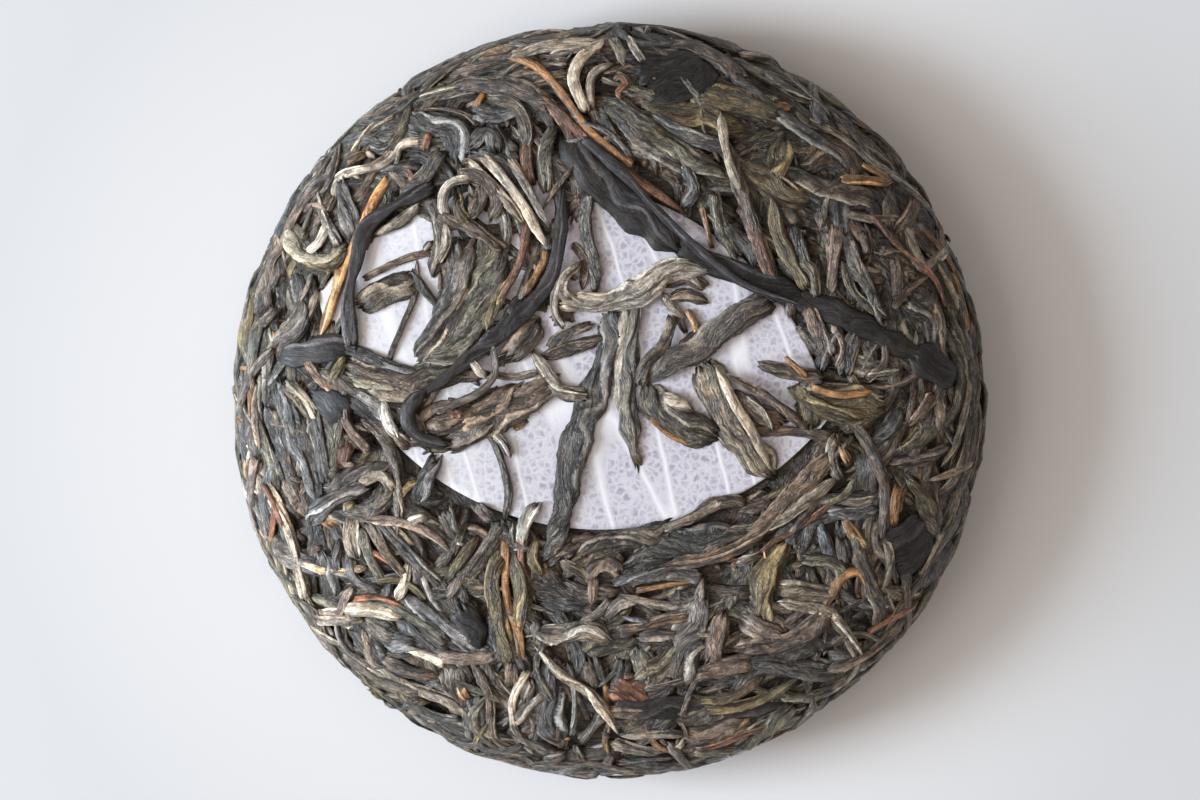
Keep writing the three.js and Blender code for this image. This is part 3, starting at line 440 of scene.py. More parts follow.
    seen(RED, 26, SUNK, (610, 690), (632, 694), (646, 702)),
    seen(CHARCOAL, 22, SUNK, (636, 640), (664, 640), (680, 644)),
    # Bottom
    seen(SILVER, 22, FLUSH, (528, 642), (560, 636), (590, 632), (612, 642)),
    seen(OLIVE, 18, FLUSH, (504, 546), (492, 584), (500, 626), (508, 664)),
    seen(STRAW, 8, ON_TAG, (504, 542), (506, 600), (518, 638), (520, 668)),
    seen(OLIVE, 15, FLUSH, (512, 552), (522, 598), (518, 640)),
    seen(BROWN, 13, FLUSH, (510, 660), (512, 690)),
    seen(DOWNY, 11, FLUSH, (528, 672), (512, 702), (512, 730)),
    seen(BROWN, 10, FLUSH, (470, 664), (488, 698), (492, 738), (514, 758)),
    seen(SLATE, 26, SUNK, (546, 664), (548, 706), (552, 748)),
    seen(CHARCOAL, 16, SUNK, (528, 680), (526, 706)),
    seen(SILVER, 10, FLUSH, (534, 648), (560, 676), (594, 700), (618, 738)),
    seen(BROWN, 22, SUNK, (588, 660), (600, 690)),
    seen(BROWN, 24, SUNK, (604, 716), (630, 720), (650, 716)),
    seen(BLACK, 30, FLUSH, (458, 606), (468, 632), (478, 650)),
    seen(SLATE, 16, FLUSH, (396, 596), (436, 622), (480, 654)),
    seen(GREEN, 16, FLUSH, (366, 604), (404, 614), (444, 642)),
    seen(BROWN, 14, FLUSH, (430, 656), (470, 660), (494, 654)),
    seen(CHARCOAL, 24, SUNK, (448, 668), (460, 696), (468, 720)),
    seen(STRAW, 8, FLUSH, (458, 690), (466, 704)),
    seen(SLATE, 14, SUNK, (480, 700), (482, 736)),
    seen(SILVER, 20, SUNK, (306, 624), (330, 620), (356, 624)),
    seen(DOWNY, 14, FLUSH, (340, 612), (372, 612), (404, 622)),
    seen(SILVER, 13, SUNK, (362, 636), (370, 668), (404, 690), (446, 706), (474, 728)),
    seen(CHARCOAL, 12, SUNK, (320, 640), (356, 664), (392, 690)),
    seen(DOWNY, 9, FLUSH, (398, 650), (424, 658), (442, 666)),
    seen(BROWN, 14, SUNK, (382, 664), (410, 676), (436, 678)),
    seen(RED, 11, FLUSH, (350, 604), (380, 602), (402, 612)),
    seen(BROWN, 9, FLUSH, (336, 620), (344, 600), (352, 592)),
    seen(OLIVE, 14, SUNK, (384, 690), (408, 704), (426, 706)),
    seen(SLATE, 20, FLUSH, (386, 646), (414, 650)),
    # Left
    seen(SLATE, 20, FLUSH, (274, 384), (292, 436), (318, 504)),
    seen(CHARCOAL, 12, SUNK, (300, 412), (308, 446), (320, 484)),
    seen(SLATE, 10, FLUSH, (312, 404), (318, 442), (324, 484)),
    seen(CHARCOAL, 18, SUNK, (326, 410), (332, 440), (326, 474)),
    seen(SLATE, 11, SUNK, (262, 408), (276, 448), (296, 500)),
    seen(OLIVE, 9, SUNK, (272, 412), (282, 440)),
    seen(GREEN, 11, SUNK, (252, 416), (262, 448), (280, 490)),
    seen(BROWN, 10, SUNK, (280, 446), (288, 480), (296, 506)),
    seen(SILVER, 10, SUNK, (312, 286), (292, 318), (270, 342), (262, 372), (258, 410)),
    seen(SILVER, 8, SUNK, (316, 290), (304, 318), (282, 336)),
    seen(SLATE, 17, FLUSH, (236, 362), (236, 410), (242, 470)),
    seen(BROWN, 10, SUNK, (248, 384), (250, 424), (256, 450)),
    seen(SILVER, 12, FLUSH, (262, 484), (280, 518), (292, 552), (302, 602)),
    seen(RED, 5, CROSSING, (262, 486), (270, 500), (282, 528)),
    seen(SILVER, 12, SUNK, (240, 486), (262, 500), (276, 528)),
    seen(SILVER, 13, SUNK, (286, 536), (292, 572), (300, 610)),
    seen(SLATE, 18, FLUSH, (306, 524), (330, 502), (364, 488)),
    seen(CHARCOAL, 18, FLUSH, (324, 494), (350, 476), (392, 466)),
    seen(SILVER, 13, FLUSH, (358, 486), (380, 476), (394, 494)),
    seen(CHARCOAL, 13, ON_TAG, (362, 418), (384, 440), (398, 482), (396, 542)),
    seen(SILVER, 15, FLUSH, (350, 518), (350, 540), (354, 562)),
    seen(SLATE, 9, FLUSH, (338, 540), (334, 562), (336, 580)),
    seen(GREEN, 10, FLUSH, (360, 530), (368, 556), (382, 584)),
    seen(CHARCOAL, 10, FLUSH, (370, 524), (384, 552), (404, 576)),
    seen(SLATE, 12, FLUSH, (376, 522), (404, 552), (440, 586)),
    seen(CHARCOAL, 10, FLUSH, (344, 556), (352, 580), (378, 592)),
    seen(BROWN, 11, FLUSH, (364, 522), (400, 524), (432, 536), (454, 556)),
    seen(DOWNY, 11, FLUSH, (396, 600), (404, 584), (407, 564)),
    seen(SLATE, 22, SUNK, (318, 556), (326, 580), (328, 604)),
    seen(DOWNY, 12, CROSSING, (382, 402), (386, 420), (396, 438)),
    seen(BROWN, 12, FLUSH, (388, 424), (398, 438), (408, 446)),
    seen(SLATE, 20, ON_TAG, (340, 398), (366, 408), (392, 424)),
    seen(CHARCOAL, 16, ON_TAG, (396, 412), (414, 424), (426, 448)),
    seen(BROWN, 9, FLUSH, (404, 442), (432, 444), (450, 448)),
    seen(BROWN, 14, FLUSH, (306, 362), (318, 380), (330, 392)),
    seen(OLIVE, 9, FLUSH, (344, 356), (334, 374), (328, 390)),
    seen(SILVER, 17, FLUSH, (284, 386), (300, 402), (312, 418)),
    seen(BLACK, 24, FLUSH, (312, 396), (334, 408), (348, 416)),
    seen(GREEN, 18, ON_TAG, (352, 380), (386, 388), (420, 386)),
    seen(BROWN, 10, FLUSH, (344, 400), (346, 424), (368, 452)),
    seen(CHARCOAL, 16, FLUSH, (336, 470), (316, 486)),
    seen(RED, 14, SUNK, (346, 444), (340, 466)),
    seen(SLATE, 18, FLUSH, (436, 456), (426, 480), (416, 504)),
    seen(DOWNY, 14, FLUSH, (408, 524), (424, 518)),
    seen(CHARCOAL, 15, FLUSH, (444, 512), (452, 530), (462, 536)),
    seen(BROWN, 12, FLUSH, (476, 506), (492, 522)),
    seen(OLIVE, 9, FLUSH, (478, 536), (462, 558), (446, 580)),
    seen(DOWNY, 12, FLUSH, (540, 504), (526, 520), (520, 544)),
    seen(OLIVE, 8, FLUSH, (536, 540), (532, 560), (542, 576)),
    seen(SLATE, 14, FLUSH, (564, 524), (556, 546), (544, 562)),
    seen(GREEN, 13, SUNK, (514, 524), (516, 544)),
    seen(BROWN, 14, SUNK, (548, 560), (572, 548)),
    seen(BROWN, 24, SUNK, (580, 572), (600, 566), (620, 570)),
    seen(BROWN, 9, FLUSH, (594, 580), (592, 606)),
    seen(CHARCOAL, 16, SUNK, (560, 586), (586, 594), (620, 590)),
    seen(SLATE, 14, SUNK, (540, 606), (570, 606), (600, 602)),
    seen(SILVER, 10, SUNK, (602, 618), (618, 606), (640, 600)),
    seen(CHARCOAL, 15, SUNK, (270, 236), (276, 262), (266, 290)),
    seen(BROWN, 14, SUNK, (264, 280), (262, 306)),
    seen(SLATE, 20, SUNK, (290, 272), (298, 296), (304, 320)),
    seen(GREEN, 16, SUNK, (262, 322), (258, 350), (244, 372)),
    seen(CHARCOAL, 20, FLUSH, (300, 300), (296, 328), (276, 346)),
    seen(STRAW, 8, FLUSH, (338, 264), (334, 290)),
)

# The way the smaller leaves run in the top: a place in the photograph and a heading in degrees
LEAF_RUNS = (
    (400, 120, 25), (480, 180, -45), (330, 260, 68), (270, 330, 65), (300, 450, -74), (380, 470, 30),
    (350, 560, -75), (420, 560, -45), (430, 630, -24), (470, 700, -75), (520, 600, -86), (550, 700, -86),
    (600, 560, 10), (640, 640, 5), (700, 545, 5), (690, 640, 75), (740, 710, 8), (830, 600, -10),
    (860, 640, -55), (880, 560, -80), (930, 520, -60), (830, 500, 38), (900, 420, 20), (960, 400, 86),
    (930, 340, -60), (860, 270, -65), (800, 260, -75), (740, 240, -60), (780, 190, -20), (850, 160, -40),
    (740, 120, -18), (650, 80, 15), (560, 70, 25), (600, 110, -50), (690, 160, -40),
    (510, 260, 68), (470, 320, 52), (430, 384, 20), (548, 200, 80), (490, 190, -52), (500, 390, 35),
)

# Where leaves cover the tag: the middle and radius of each patch in pixels
TANGLES = (
    (478, 214, 50), (510, 258, 44), (540, 215, 32), (480, 285, 46), (524, 300, 30), (452, 335, 36),
    (425, 380, 30), (462, 398, 38), (505, 345, 28), (446, 256, 26), (565, 205, 24), (574, 262, 20),
    (562, 318, 18), (506, 408, 26), (436, 428, 24), (336, 366, 30), (362, 388, 28), (392, 404, 28),
    (416, 424, 26), (446, 412, 26), (470, 424, 22), (480, 318, 32), (500, 228, 30), (330, 330, 22),
)


def from_photo(px: float, py: float) -> Pair:
    """A photograph pixel as a place in plan, in mm."""
    return (px - PHOTO_CENTRE[0]) * PIXEL_MM, (PHOTO_CENTRE[1] - py) * PIXEL_MM


def linear(colour: Triple) -> Array:
    """A colour as the eye sees it, 0 to 255, as linear light, by the usual curve."""
    share = np.asarray(colour, float) / 255
    return np.where(share <= 0.04045, share / 12.92, ((share + 0.055) / 1.055) ** 2.4)


def opaque(colour: Colour) -> tuple[float, ...]:
    """A colour as the eye sees it, 0 to 255, as a node's colour."""
    return (*linear(colour), 1.0)


def unit(vectors: Array) -> Array:
    """The same directions, one long."""
    return vectors / np.maximum(np.linalg.norm(vectors, axis=-1, keepdims=True), NO_LENGTH)


def drift(rng: Draws, places: Array, span: float, strength: float) -> Array:
    """A slow random change along a line.

    Args:
        rng: The source of the random draws.
        places: Distances along the line, rising, in mm.
        span: The distance from one random value to the next, in mm.
        strength: The spread of the values.

    Returns:
        One value for each place.
    """
    steps = (places - places[0]) / span
    knots = rng.normal(0, strength, int(steps[-1]) + 3)
    low = steps.astype(int)
    part = steps - low
    eased = part * part * (3 - 2 * part)
    return knots[low] * (1 - eased) + knots[low + 1] * eased


def run_lengths(points: Array) -> Array:
    """How far along a line each of its points lies."""
    return np.concatenate([[0], np.cumsum(np.linalg.norm(np.diff(points, axis=0), axis=1))])


def sampled(places: Array, at: Array, rows: Array) -> Array:
    """Rows of values that are known at some places, taken at other places."""
    return np.stack([np.interp(places, at, column) for column in rows.T], 1)


def round_faces(rows: int, sides: int) -> Array:
    """Joins rings of points, each with its next one.

    Args:
        rows: How many rings there are.
        sides: How many points each ring has.

    Returns:
        The corners of the faces, by ring and side.
    """
    row = np.arange(rows - 1)[:, None] * sides
    near = np.arange(sides)[None, :]
    after = (near + 1) % sides
    return np.stack([row + near, row + sides + near, row + sides + after, row + after], -1)


@dataclass
class Mould:
    """The outline that the cake was pressed to, turned round its axis. Sizes in mm."""

    diameter: float = 105.0
    height: float = 20.0
    widest_height: float = 9.5
    shoulder_squareness: float = 6.0
    shoulder_roundness: float = 1.6
    base_squareness: float = 8.0
    base_roundness: float = 2.0
    hollow_depth: float = 3.5
    hollow_radius: float = 17.0
    rubbed_off: float = 0.25
    rim_margin: float = 0.6
    samples: int = 700
    rough_samples: int = 6001
    line: Array = field(init=False, repr=False)
    normals: Array = field(init=False, repr=False)

    def __post_init__(self) -> None:
        """Samples the outline from the top's centre over the rim to the base's centre."""
        angle = np.linspace(math.pi / 2, -math.pi / 2, self.rough_samples)
        above = angle >= 0
        squareness = np.where(above, self.shoulder_squareness, self.base_squareness)
        roundness = np.where(above, self.shoulder_roundness, self.base_roundness)
        radius = self.diameter / 2 * np.clip(np.cos(angle), 0, 1) ** (2 / squareness)
        reach = np.where(above, self.height - self.widest_height, self.widest_height)
        rise = np.sign(angle) * np.abs(np.sin(angle)) ** (2 / roundness)
        height = self.widest_height + reach * rise - self.rubbed_off
        in_hollow = ~above & (radius < self.hollow_radius)
        swell = np.cos(math.pi / 2 * np.clip(radius / self.hollow_radius, 0, 1)) ** 2
        height = height + np.where(in_hollow, self.hollow_depth * swell, 0)
        rough = np.stack([radius, height], 1)
        along = run_lengths(rough)
        self.line = sampled(np.linspace(0, along[-1], self.samples), along, rough)
        tangent = unit(np.gradient(self.line, axis=0))
        self.normals = np.stack([-tangent[:, 1], tangent[:, 0]], 1)

    def seat(self, places: Array) -> tuple[Array, Array]:
        """The points of the outline nearest to some places.

        Args:
            places: Points, one a row.

        Returns:
            The points on the outline and the directions out of it.
        """
        radius = np.hypot(places[:, 0], places[:, 1])
        gap = (radius[:, None] - self.line[None, :, 0]) ** 2
        gap = gap + (places[:, 2][:, None] - self.line[None, :, 1]) ** 2
        nearest = gap.argmin(1)
        base, normal = self.line[nearest], self.normals[nearest]
        slide = (radius - base[:, 0]) * normal[:, 1] - (places[:, 2] - base[:, 1]) * normal[:, 0]
        r = base[:, 0] + normal[:, 1] * slide
        z = base[:, 1] - normal[:, 0] * slide
        out = places[:, :2] / np.maximum(radius, ON_AXIS)[:, None]
        out = np.where(radius[:, None] > ON_AXIS, out, [1.0, 0.0])
        return (
            np.column_stack([out * r[:, None], z]),
            np.column_stack([out * normal[:, :1], normal[:, 1]]),
        )

    def over(self, plan: Array) -> tuple[Array, Array]:
        """The points of the upper face over some places in plan.

        Args:
            plan: x and y, one place a row.

        Returns:
            The points and the directions out of the face.
        """
        radius = np.hypot(plan[:, 0], plan[:, 1])
        widest = self.diameter / 2 - self.rim_margin
        plan = plan * np.minimum(1, widest / np.maximum(radius, ON_AXIS))[:, None]
        across = np.clip(np.hypot(plan[:, 0], plan[:, 1]) / (self.diameter / 2), 0, 1)
        rise = (1 - across**self.shoulder_squareness) ** (1 / self.shoulder_roundness)
        z = self.widest_height + (self.height - self.widest_height) * rise - self.rubbed_off
        return self.seat(np.column_stack([plan, z]))


@dataclass(frozen=True)
class TagLens:
    """The plan of the tag: a lens between two arcs, in mm."""

    length: float = 73.0
    arc_radius: float = 40.0
    centre: Pair = (-5.0, 6.2)
    turn: float = math.radians(-13.5)
    depth: float = 1.0

    @property
    def drop(self) -> float:
        """How far each arc's centre lies across the long axis."""
        return math.sqrt(self.arc_radius**2 - (self.length / 2) ** 2)

    def own_axes(self, plan: Array) -> tuple[Array, Array]:
        """Measures places in plan from the lens's centre.

        Args:
            plan: x and y, one place a row.

        Returns:
            How far each lies along the long axis and across it.
        """
        dx, dy = plan[:, 0] - self.centre[0], plan[:, 1] - self.centre[1]
        along = dx * math.cos(self.turn) + dy * math.sin(self.turn)
        return along, -dx * math.sin(self.turn) + dy * math.cos(self.turn)

    def reach(self, plan: Array) -> Array:
        """How far places in plan lie inside the lens, negative outside."""
        along, across = self.own_axes(plan)
        return self.arc_radius - np.hypot(along, np.abs(across) + self.drop)

    def near_side(self, plan: Array) -> Array:
        """Which places in plan lie below the long axis in the photograph."""
        return self.own_axes(plan)[1] < 0

    def place(self, along: Array, across: Array) -> Array:
        """Finds places of the lens in plan.

        Args:
            along: Shares of the half length, -1 to 1.
            across: Shares of the half width there, -1 to 1.

        Returns:
            x and y of each place.
        """
        u = along * self.length / 2
        half = np.sqrt(np.maximum(self.arc_radius**2 - u**2, 0)) - self.drop
        v = across * np.maximum(half, 0)
        x = self.centre[0] + u * math.cos(self.turn) - v * math.sin(self.turn)
        y = self.centre[1] + u * math.sin(self.turn) + v * math.cos(self.turn)
        return np.stack([x, y], -1)


MOULD = Mould()
TAG = TagLens()


@dataclass(frozen=True)
class Detail:
    """How finely a strand is meshed: the step between its rows, its fewest rows, and its sides by width."""

    step: float
    least_rows: int
    sides: tuple[tuple[float, int], ...]

    def sides_at(self, width: float) -> int:
        """How many sides a section of some width gets."""
        return next(count for limit, count in self.sides if width < limit)


FINE = Detail(0.52, 7, ((0.9, 12), (1.6, 17), (2.6, 24), (99, 32)))
CLOSE = Detail(0.7, 6, ((1.1, 10), (2.0, 14), (99, 20)))
PLAIN = Detail(1.0, 6, ((1.1, 8), (2.0, 11), (99, 15)))
CRUMB = Detail(0.5, 4, ((99, 7),))


@dataclass
class Strand:
    """A leaf, stalk or bud laid on the mould, ready to be swept. Sizes in mm."""

    kind: Kind
    seats: Array
    normals: Array
    width: float
    top: float
    detail: Detail = PLAIN
    variety: float = 1.0


@dataclass
class Patch:
    """Part of a mesh: points in mm, faces, and what each point and each face corner carries."""

    points: list[Array] = field(default_factory=list)
    colours: list[Array] = field(default_factory=list)
    quads: list[Array] = field(default_factory=list)
    triangles: list[Array] = field(default_factory=list)
    quad_grain: list[Array] = field(default_factory=list)
    triangle_grain: list[Array] = field(default_factory=list)
    quad_turns: list[Array] = field(default_factory=list)
    triangle_turns: list[Array] = field(default_factory=list)
    count: int = 0

    def add_points(self, points: Array, colours: Array) -> int:
        """Adds points.

        Args:
            points: The points, one a row.
            colours: Their linear colours.

        Returns:
            The number of the first of them.
        """
        first = self.count
        self.points.append(points)
        self.colours.append(colours)
        self.count += len(points)
        return first

    def add_quads(self, quads: Array, grain: Array | None = None, turns: Array | None = None) -> None:
        """Adds four-sided faces.

        Args:
            quads: The numbers of their corners.
            grain: The grain of each corner, or None for a plain one.
            turns: The rolled layers at each corner, or None for none.
        """
        blank = np.full((len(quads), 4, 2), 0.5)
        self.quads.append(quads)
        self.quad_grain.append(blank if grain is None else grain)
        self.quad_turns.append(blank if turns is None else turns)

    def add_triangles(self, triangles: Array, grain: Array | None = None) -> None:
        """Adds triangles.

        Args:
            triangles: The numbers of their corners.
            grain: The grain of each corner, or None for a plain one.
        """
        blank = np.full((len(triangles), 3, 2), 0.5)
        self.triangles.append(triangles)
        self.triangle_grain.append(blank if grain is None else grain)
        self.triangle_turns.append(blank)

    def triangle_count(self) -> int:
        """How many triangles the faces make."""
        return 2 * sum(len(q) for q in self.quads) + sum(len(t) for t in self.triangles)


@dataclass
class Sweeper:
    """Sweeps strands into creased, rolled, dried leaves. Sizes in mm.

    Points crowd at the top of a section and at the ends of a strand. Each leaf that touches the
    ground has a height of its own there, so that no two lie in one plane.
    """

    rng: Draws
    crowding: float = 0.36
    end_crowding: float = 0.09 * 0.9
    most_rows: int = 72
    square_across: float = 0.85
    square_up: float = 0.8
    radius_limits: Pair = (0.35, 1.6)
    point_shares: Pair = (0.12, 0.34)
    point_width: float = 0.12
    break_widths: Pair = (0.55, 0.85)
    girth_limits: Pair = (0.6, 1.4)
    widest_turn: float = 1.7
    thinnest: float = 0.14
    most_layers: int = 3
    layer_draws: int = 4
    wrap: float = 2.4
    grain_shift: float = 400.0
    tucked: float = 0.75
    tuck_depths: Pair = (0.15, 0.8)
    torn_reach: float = 1.2
    lowest: float = 0.02
    apart: float = 0.012
    ground_steps: int = 11
    gap_light: float = 0.12
    lit_share: float = 0.92
    gap_depth: float = 1.0
    lit_height: float = 0.98
    # Where the painted highlight of each raised edge begins, as a share of its layer
    lip_from: float = 0.82
    # Painted light: the way in plan, per mm, in which the leaves' colour grows paler, towards the lit side
    painted_light_way: Pair = (-0.009, -0.004)
    leaf_tint: Triple = (0.93, 0.915, 0.955)
    blue_loss: float = 1.4

    def sweep(self, strand: Strand, patch: Patch) -> None:
        """Adds one strand to a patch.

        Args:
            strand: The leaf to sweep.
            patch: What it is added to.
        """
        habit = HABITS[strand.kind]
        along = run_lengths(strand.seats)
        rows = int(np.clip(round(along[-1] / strand.detail.step), strand.detail.least_rows, self.most_rows))
        sides = strand.detail.sides_at(strand.width)
        even = self.stations(along[-1], rows)
        seats = sampled(even, along, strand.seats)
        normals = unit(sampled(even, along, strand.normals))
        tangent = unit(np.gradient(seats, axis=0))
        across = unit(np.cross(tangent, normals))
        width, height = self.girths(strand, habit, even, tangent)
        angles = self.angles(sides)
        roll = self.roll(habit, angles, even)
        turns, count = self.layers(roll, even)
        layer, edge = np.floor(turns).astype(int) % count, turns % 1
        relief = self.relief(habit, roll, even, edge)
        radius = np.clip(1 - relief, *self.radius_limits)
        side_share = np.sign(np.sin(angles)) * np.abs(np.sin(angles)) ** self.square_across
        up_share = np.sign(np.cos(angles)) * np.abs(np.cos(angles)) ** self.square_up
        sideways = width[:, None] / 2 * side_share[None, :] * radius
        upward = height[:, None] / 2 * up_share[None, :] * radius
        lift = self.lifts(strand, even, height)
        over = lift[:, None] + upward
        points = seats[:, None, :] + across[:, None, :] * sideways[:, :, None]
        points = points + normals[:, None, :] * over[:, :, None]
        points += tangent[:, None, :] * self.torn(even, sides, width)[:, :, None]
        ground = self.lowest + self.apart * (patch.count % self.ground_steps)
        points[..., 2] = np.maximum(points[..., 2], ground)
        # Painted light and shade: the colour grows paler towards the lit side, falls off away from it, and
        # darkens in the gaps
        paler = math.exp(float(seats.mean(0)[:2] @ np.array(self.painted_light_way)))
        colours = paler * self.colours(strand, relief, layer, edge, even) * self.shade(over)[..., None]
        shift = self.rng.uniform(0, self.grain_shift, 2)
        around = roll / (2 * math.pi) * width.max() * self.wrap
        across_grain = self.closed(around, width.max() * self.wrap) + shift[1]
        self.join(patch, points, colours, even + shift[0], across_grain, self.closed(turns, count))

    def stations(self, length: float, rows: int) -> Array:
        """Places along a strand, closer together at its ends."""
        share = np.linspace(0, 1, rows)
        return (share - self.end_crowding * np.sin(2 * math.pi * share)) * length

    def angles(self, sides: int) -> Array:
        """Angles round a section, 0 at its top and closer together there."""
        share = np.arange(sides) / sides * 2 - 1
        return math.pi * ((1 - self.crowding) * share + self.crowding * share**3)

    def girths(self, strand: Strand, habit: Habit, even: Array, tangent: Array) -> tuple[Array, Array]:
        """The width and height of a strand along its length, tapered or broken at its ends.

        Args:
            strand: The strand.
            habit: How its kind is rolled.
            even: Places along it.
            tangent: Its direction at each place.

        Returns:
            Its width and its height at each place.
        """
        length = even[-1]
        taper = np.ones_like(even)
        for distance in (even, length - even):
            if self.rng.random() < habit.pointed:
                reach = length * self.rng.uniform(*self.point_shares)
                least = self.point_width
            else:
                reach = min(0.35 * strand.width, 0.2 * length)
                least = self.rng.uniform(*self.break_widths)
            grown = np.clip(distance / max(reach, 0.05), 0, 1)
            taper *= least + (1 - least) * np.sin(grown * math.pi / 2) ** 0.8
        wavering = 1 + drift(self.rng, even, 2.6, 0.10) + drift(self.rng, even, 6.0, 0.10)
        width = strand.width * taper * np.clip(wavering, *self.girth_limits)
        bend = np.linalg.norm(np.gradient(tangent, even, axis=0), axis=1)
        width = np.minimum(width, self.widest_turn / np.maximum(bend, 1e-3))
        height = habit.thickness(strand.width) * taper**0.6
        height = height * np.clip(1 + drift(self.rng, even, 3.5, 0.12), *self.girth_limits)
        return np.maximum(width, self.thinnest), np.maximum(height, self.thinnest)

    def roll(self, habit: Habit, angles: Array, even: Array) -> Array:
        """Angles round the rolled leaf itself, which twists as it goes along.

        Args:
            habit: How the kind is rolled.
            angles: Angles round the section.
            even: Places along the strand.

        Returns:
            An angle for each place and angle.
        """
        turning = habit.twist * self.rng.choice([-1, 1]) * self.rng.uniform(0.3, 1.6)
        return angles[None, :] + (turning * even + drift(self.rng, even, 4.0, 0.3))[:, None]

    def layers(self, roll: Array, even: Array) -> tuple[Array, int]:
        """The rolled layers that show, each with a raised edge.

        Args:
            roll: Angles round the rolled leaf.
            even: Places along the strand.

        Returns:
            How many layers lie before each point, with the share of its own, and their number.
        """
        count = int(self.rng.integers(1, self.most_layers, endpoint=True))
        sway = drift(self.rng, even, 3.0, 0.06)[:, None]
        return (count * roll + self.rng.uniform(0, 2 * math.pi)) / (2 * math.pi) + sway, count

    def closed(self, values: Array, lap: float) -> Array:
        """Values round each section, with those of its first point once more, a lap on."""
        return np.column_stack([values, values[:, 0] + lap])

    def relief(self, habit: Habit, roll: Array, even: Array, edge: Array) -> Array:
        """How deep the folds and wrinkles cut in, as a share of the half width.

        Args:
            habit: How the kind is rolled.
            roll: Angles round the rolled leaf.
            even: Places along the strand.
            edge: How near the raised edge of its layer each point is.

        Returns:
            A depth for each place and angle.
        """
        rng = self.rng
        folds = rng.integers(*habit.folds, endpoint=True)
        fold = 1 - np.abs(np.sin(folds * roll / 2 + rng.uniform(0, math.pi)))
        fold = fold**2 * np.clip(0.9 + drift(rng, even, 3.0, 0.4), 0.1, 1.6)[:, None]
        wrinkles = rng.integers(*habit.wrinkles, endpoint=True)
        weave = roll + drift(rng, even, 1.8, 0.16)[:, None]
        wrinkle = np.abs(np.sin(wrinkles * weave / 2 + rng.uniform(0, math.pi)))
        rough = rng.normal(0, 0.02, fold.shape)
        depth = habit.fold_depth * fold + habit.wrinkle_depth * wrinkle + habit.seam * (1 - edge) + rough
        return depth - depth.mean()

    def lifts(self, strand: Strand, even: Array, height: Array) -> Array:
        """The height of the strand's middle over the mould, with its ends tucked in.

        Args:
            strand: The strand.
            even: Places along it.
            height: Its thickness at each place.

        Returns:
            A height for each place.
        """
        tuck = np.zeros_like(even)
        for distance in (even, even[-1] - even):
            if self.rng.random() < self.tucked:
                reach = max(0.25 * even[-1], 1.2)
                tuck += self.rng.uniform(*self.tuck_depths) * (1 - np.clip(distance / reach, 0, 1)) ** 2
        return strand.top - height.max() * 0.5 + drift(self.rng, even, 4.0, 0.1) - tuck

    def torn(self, even: Array, sides: int, width: Array) -> Array:
        """How far each point near an end is pushed along, so that the ends are ragged.

        Args:
            even: Places along the strand.
            sides: How many points its section has.
            width: Its width at each place.

        Returns:
            A push for each place and angle.
        """
        ragged = np.zeros((len(even), sides))
        for sign, distance in ((-1, even), (1, even[-1] - even)):
            edge = self.rng.normal(0, 0.16, sides) * np.clip(width.max(), 0.4, 3.0)
            ragged += sign * edge[None, :] * (1 - np.clip(distance / self.torn_reach, 0, 1))[:, None]
        return ragged

    def shade(self, over: Array) -> Array:
        """How much light reaches a point, from its height over the mould: the gaps are dark."""
        lit = np.clip((over + self.gap_depth) / self.lit_height, 0, 1)
        return self.gap_light + self.lit_share * lit**1.3

    def colours(self, strand: Strand, relief: Array, layer: Array, edge: Array, even: Array) -> Array:
        """The colour of each point: pale on ridges and raised edges, partly painted highlight; dark in
        folds, painted shade; and uneven along the strand.

        Args:
            strand: The strand.
            relief: How deep each point lies in a fold.
            layer: Which rolled layer each point is on.
            edge: How near the raised edge of its layer each point is.
            even: Places along the strand.

        Returns:
            A linear colour for each place and angle.
        """
        rng, habit, variety = self.rng, HABITS[strand.kind], strand.variety
        base, ridge, groove = linear(habit.base), linear(habit.ridge), linear(habit.groove)
        spread = max(float(np.abs(relief).max()), 1e-3)
        patchy = np.clip(0.55 + drift(rng, even, 5.0, 0.4), 0, 1)[:, None]
        # Painted highlight on the ridges and raised edges, partly the leaf's own paler colour there
        high = np.clip(-relief / spread, 0, 1) ** 1.5 * patchy
        lip = np.clip((edge - self.lip_from) / (1 - self.lip_from), 0, 1)
        high = np.clip(high + 0.8 * lip * patchy, 0, 1)[..., None]
        # Painted shade in the folds
        deep = np.clip(relief / spread, 0, 1)[..., None] ** 0.8
        colour = base * (1 - high) + ridge * high
        colour = colour * (1 - deep) + groove * deep
        tones = np.exp(rng.normal(0, 0.26, self.layer_draws))[layer][..., None]
        tone = math.exp(rng.normal(0, 0.32 * variety))
        warmth = rng.normal(0.006, 0.035 * variety) + rng.normal(0, 0.04, self.layer_draws)[layer]
        warmth = warmth + drift(rng, even, 3.5, 0.04)[:, None]
        red, green, blue = self.leaf_tint
        tint = np.stack([red + warmth, np.full_like(warmth, green), blue - self.blue_loss * warmth], -1)
        along = np.exp(drift(rng, even, 4.0, 0.15))[:, None, None]
        return np.clip(colour * tone * tones * tint * along, 0.001, 1)

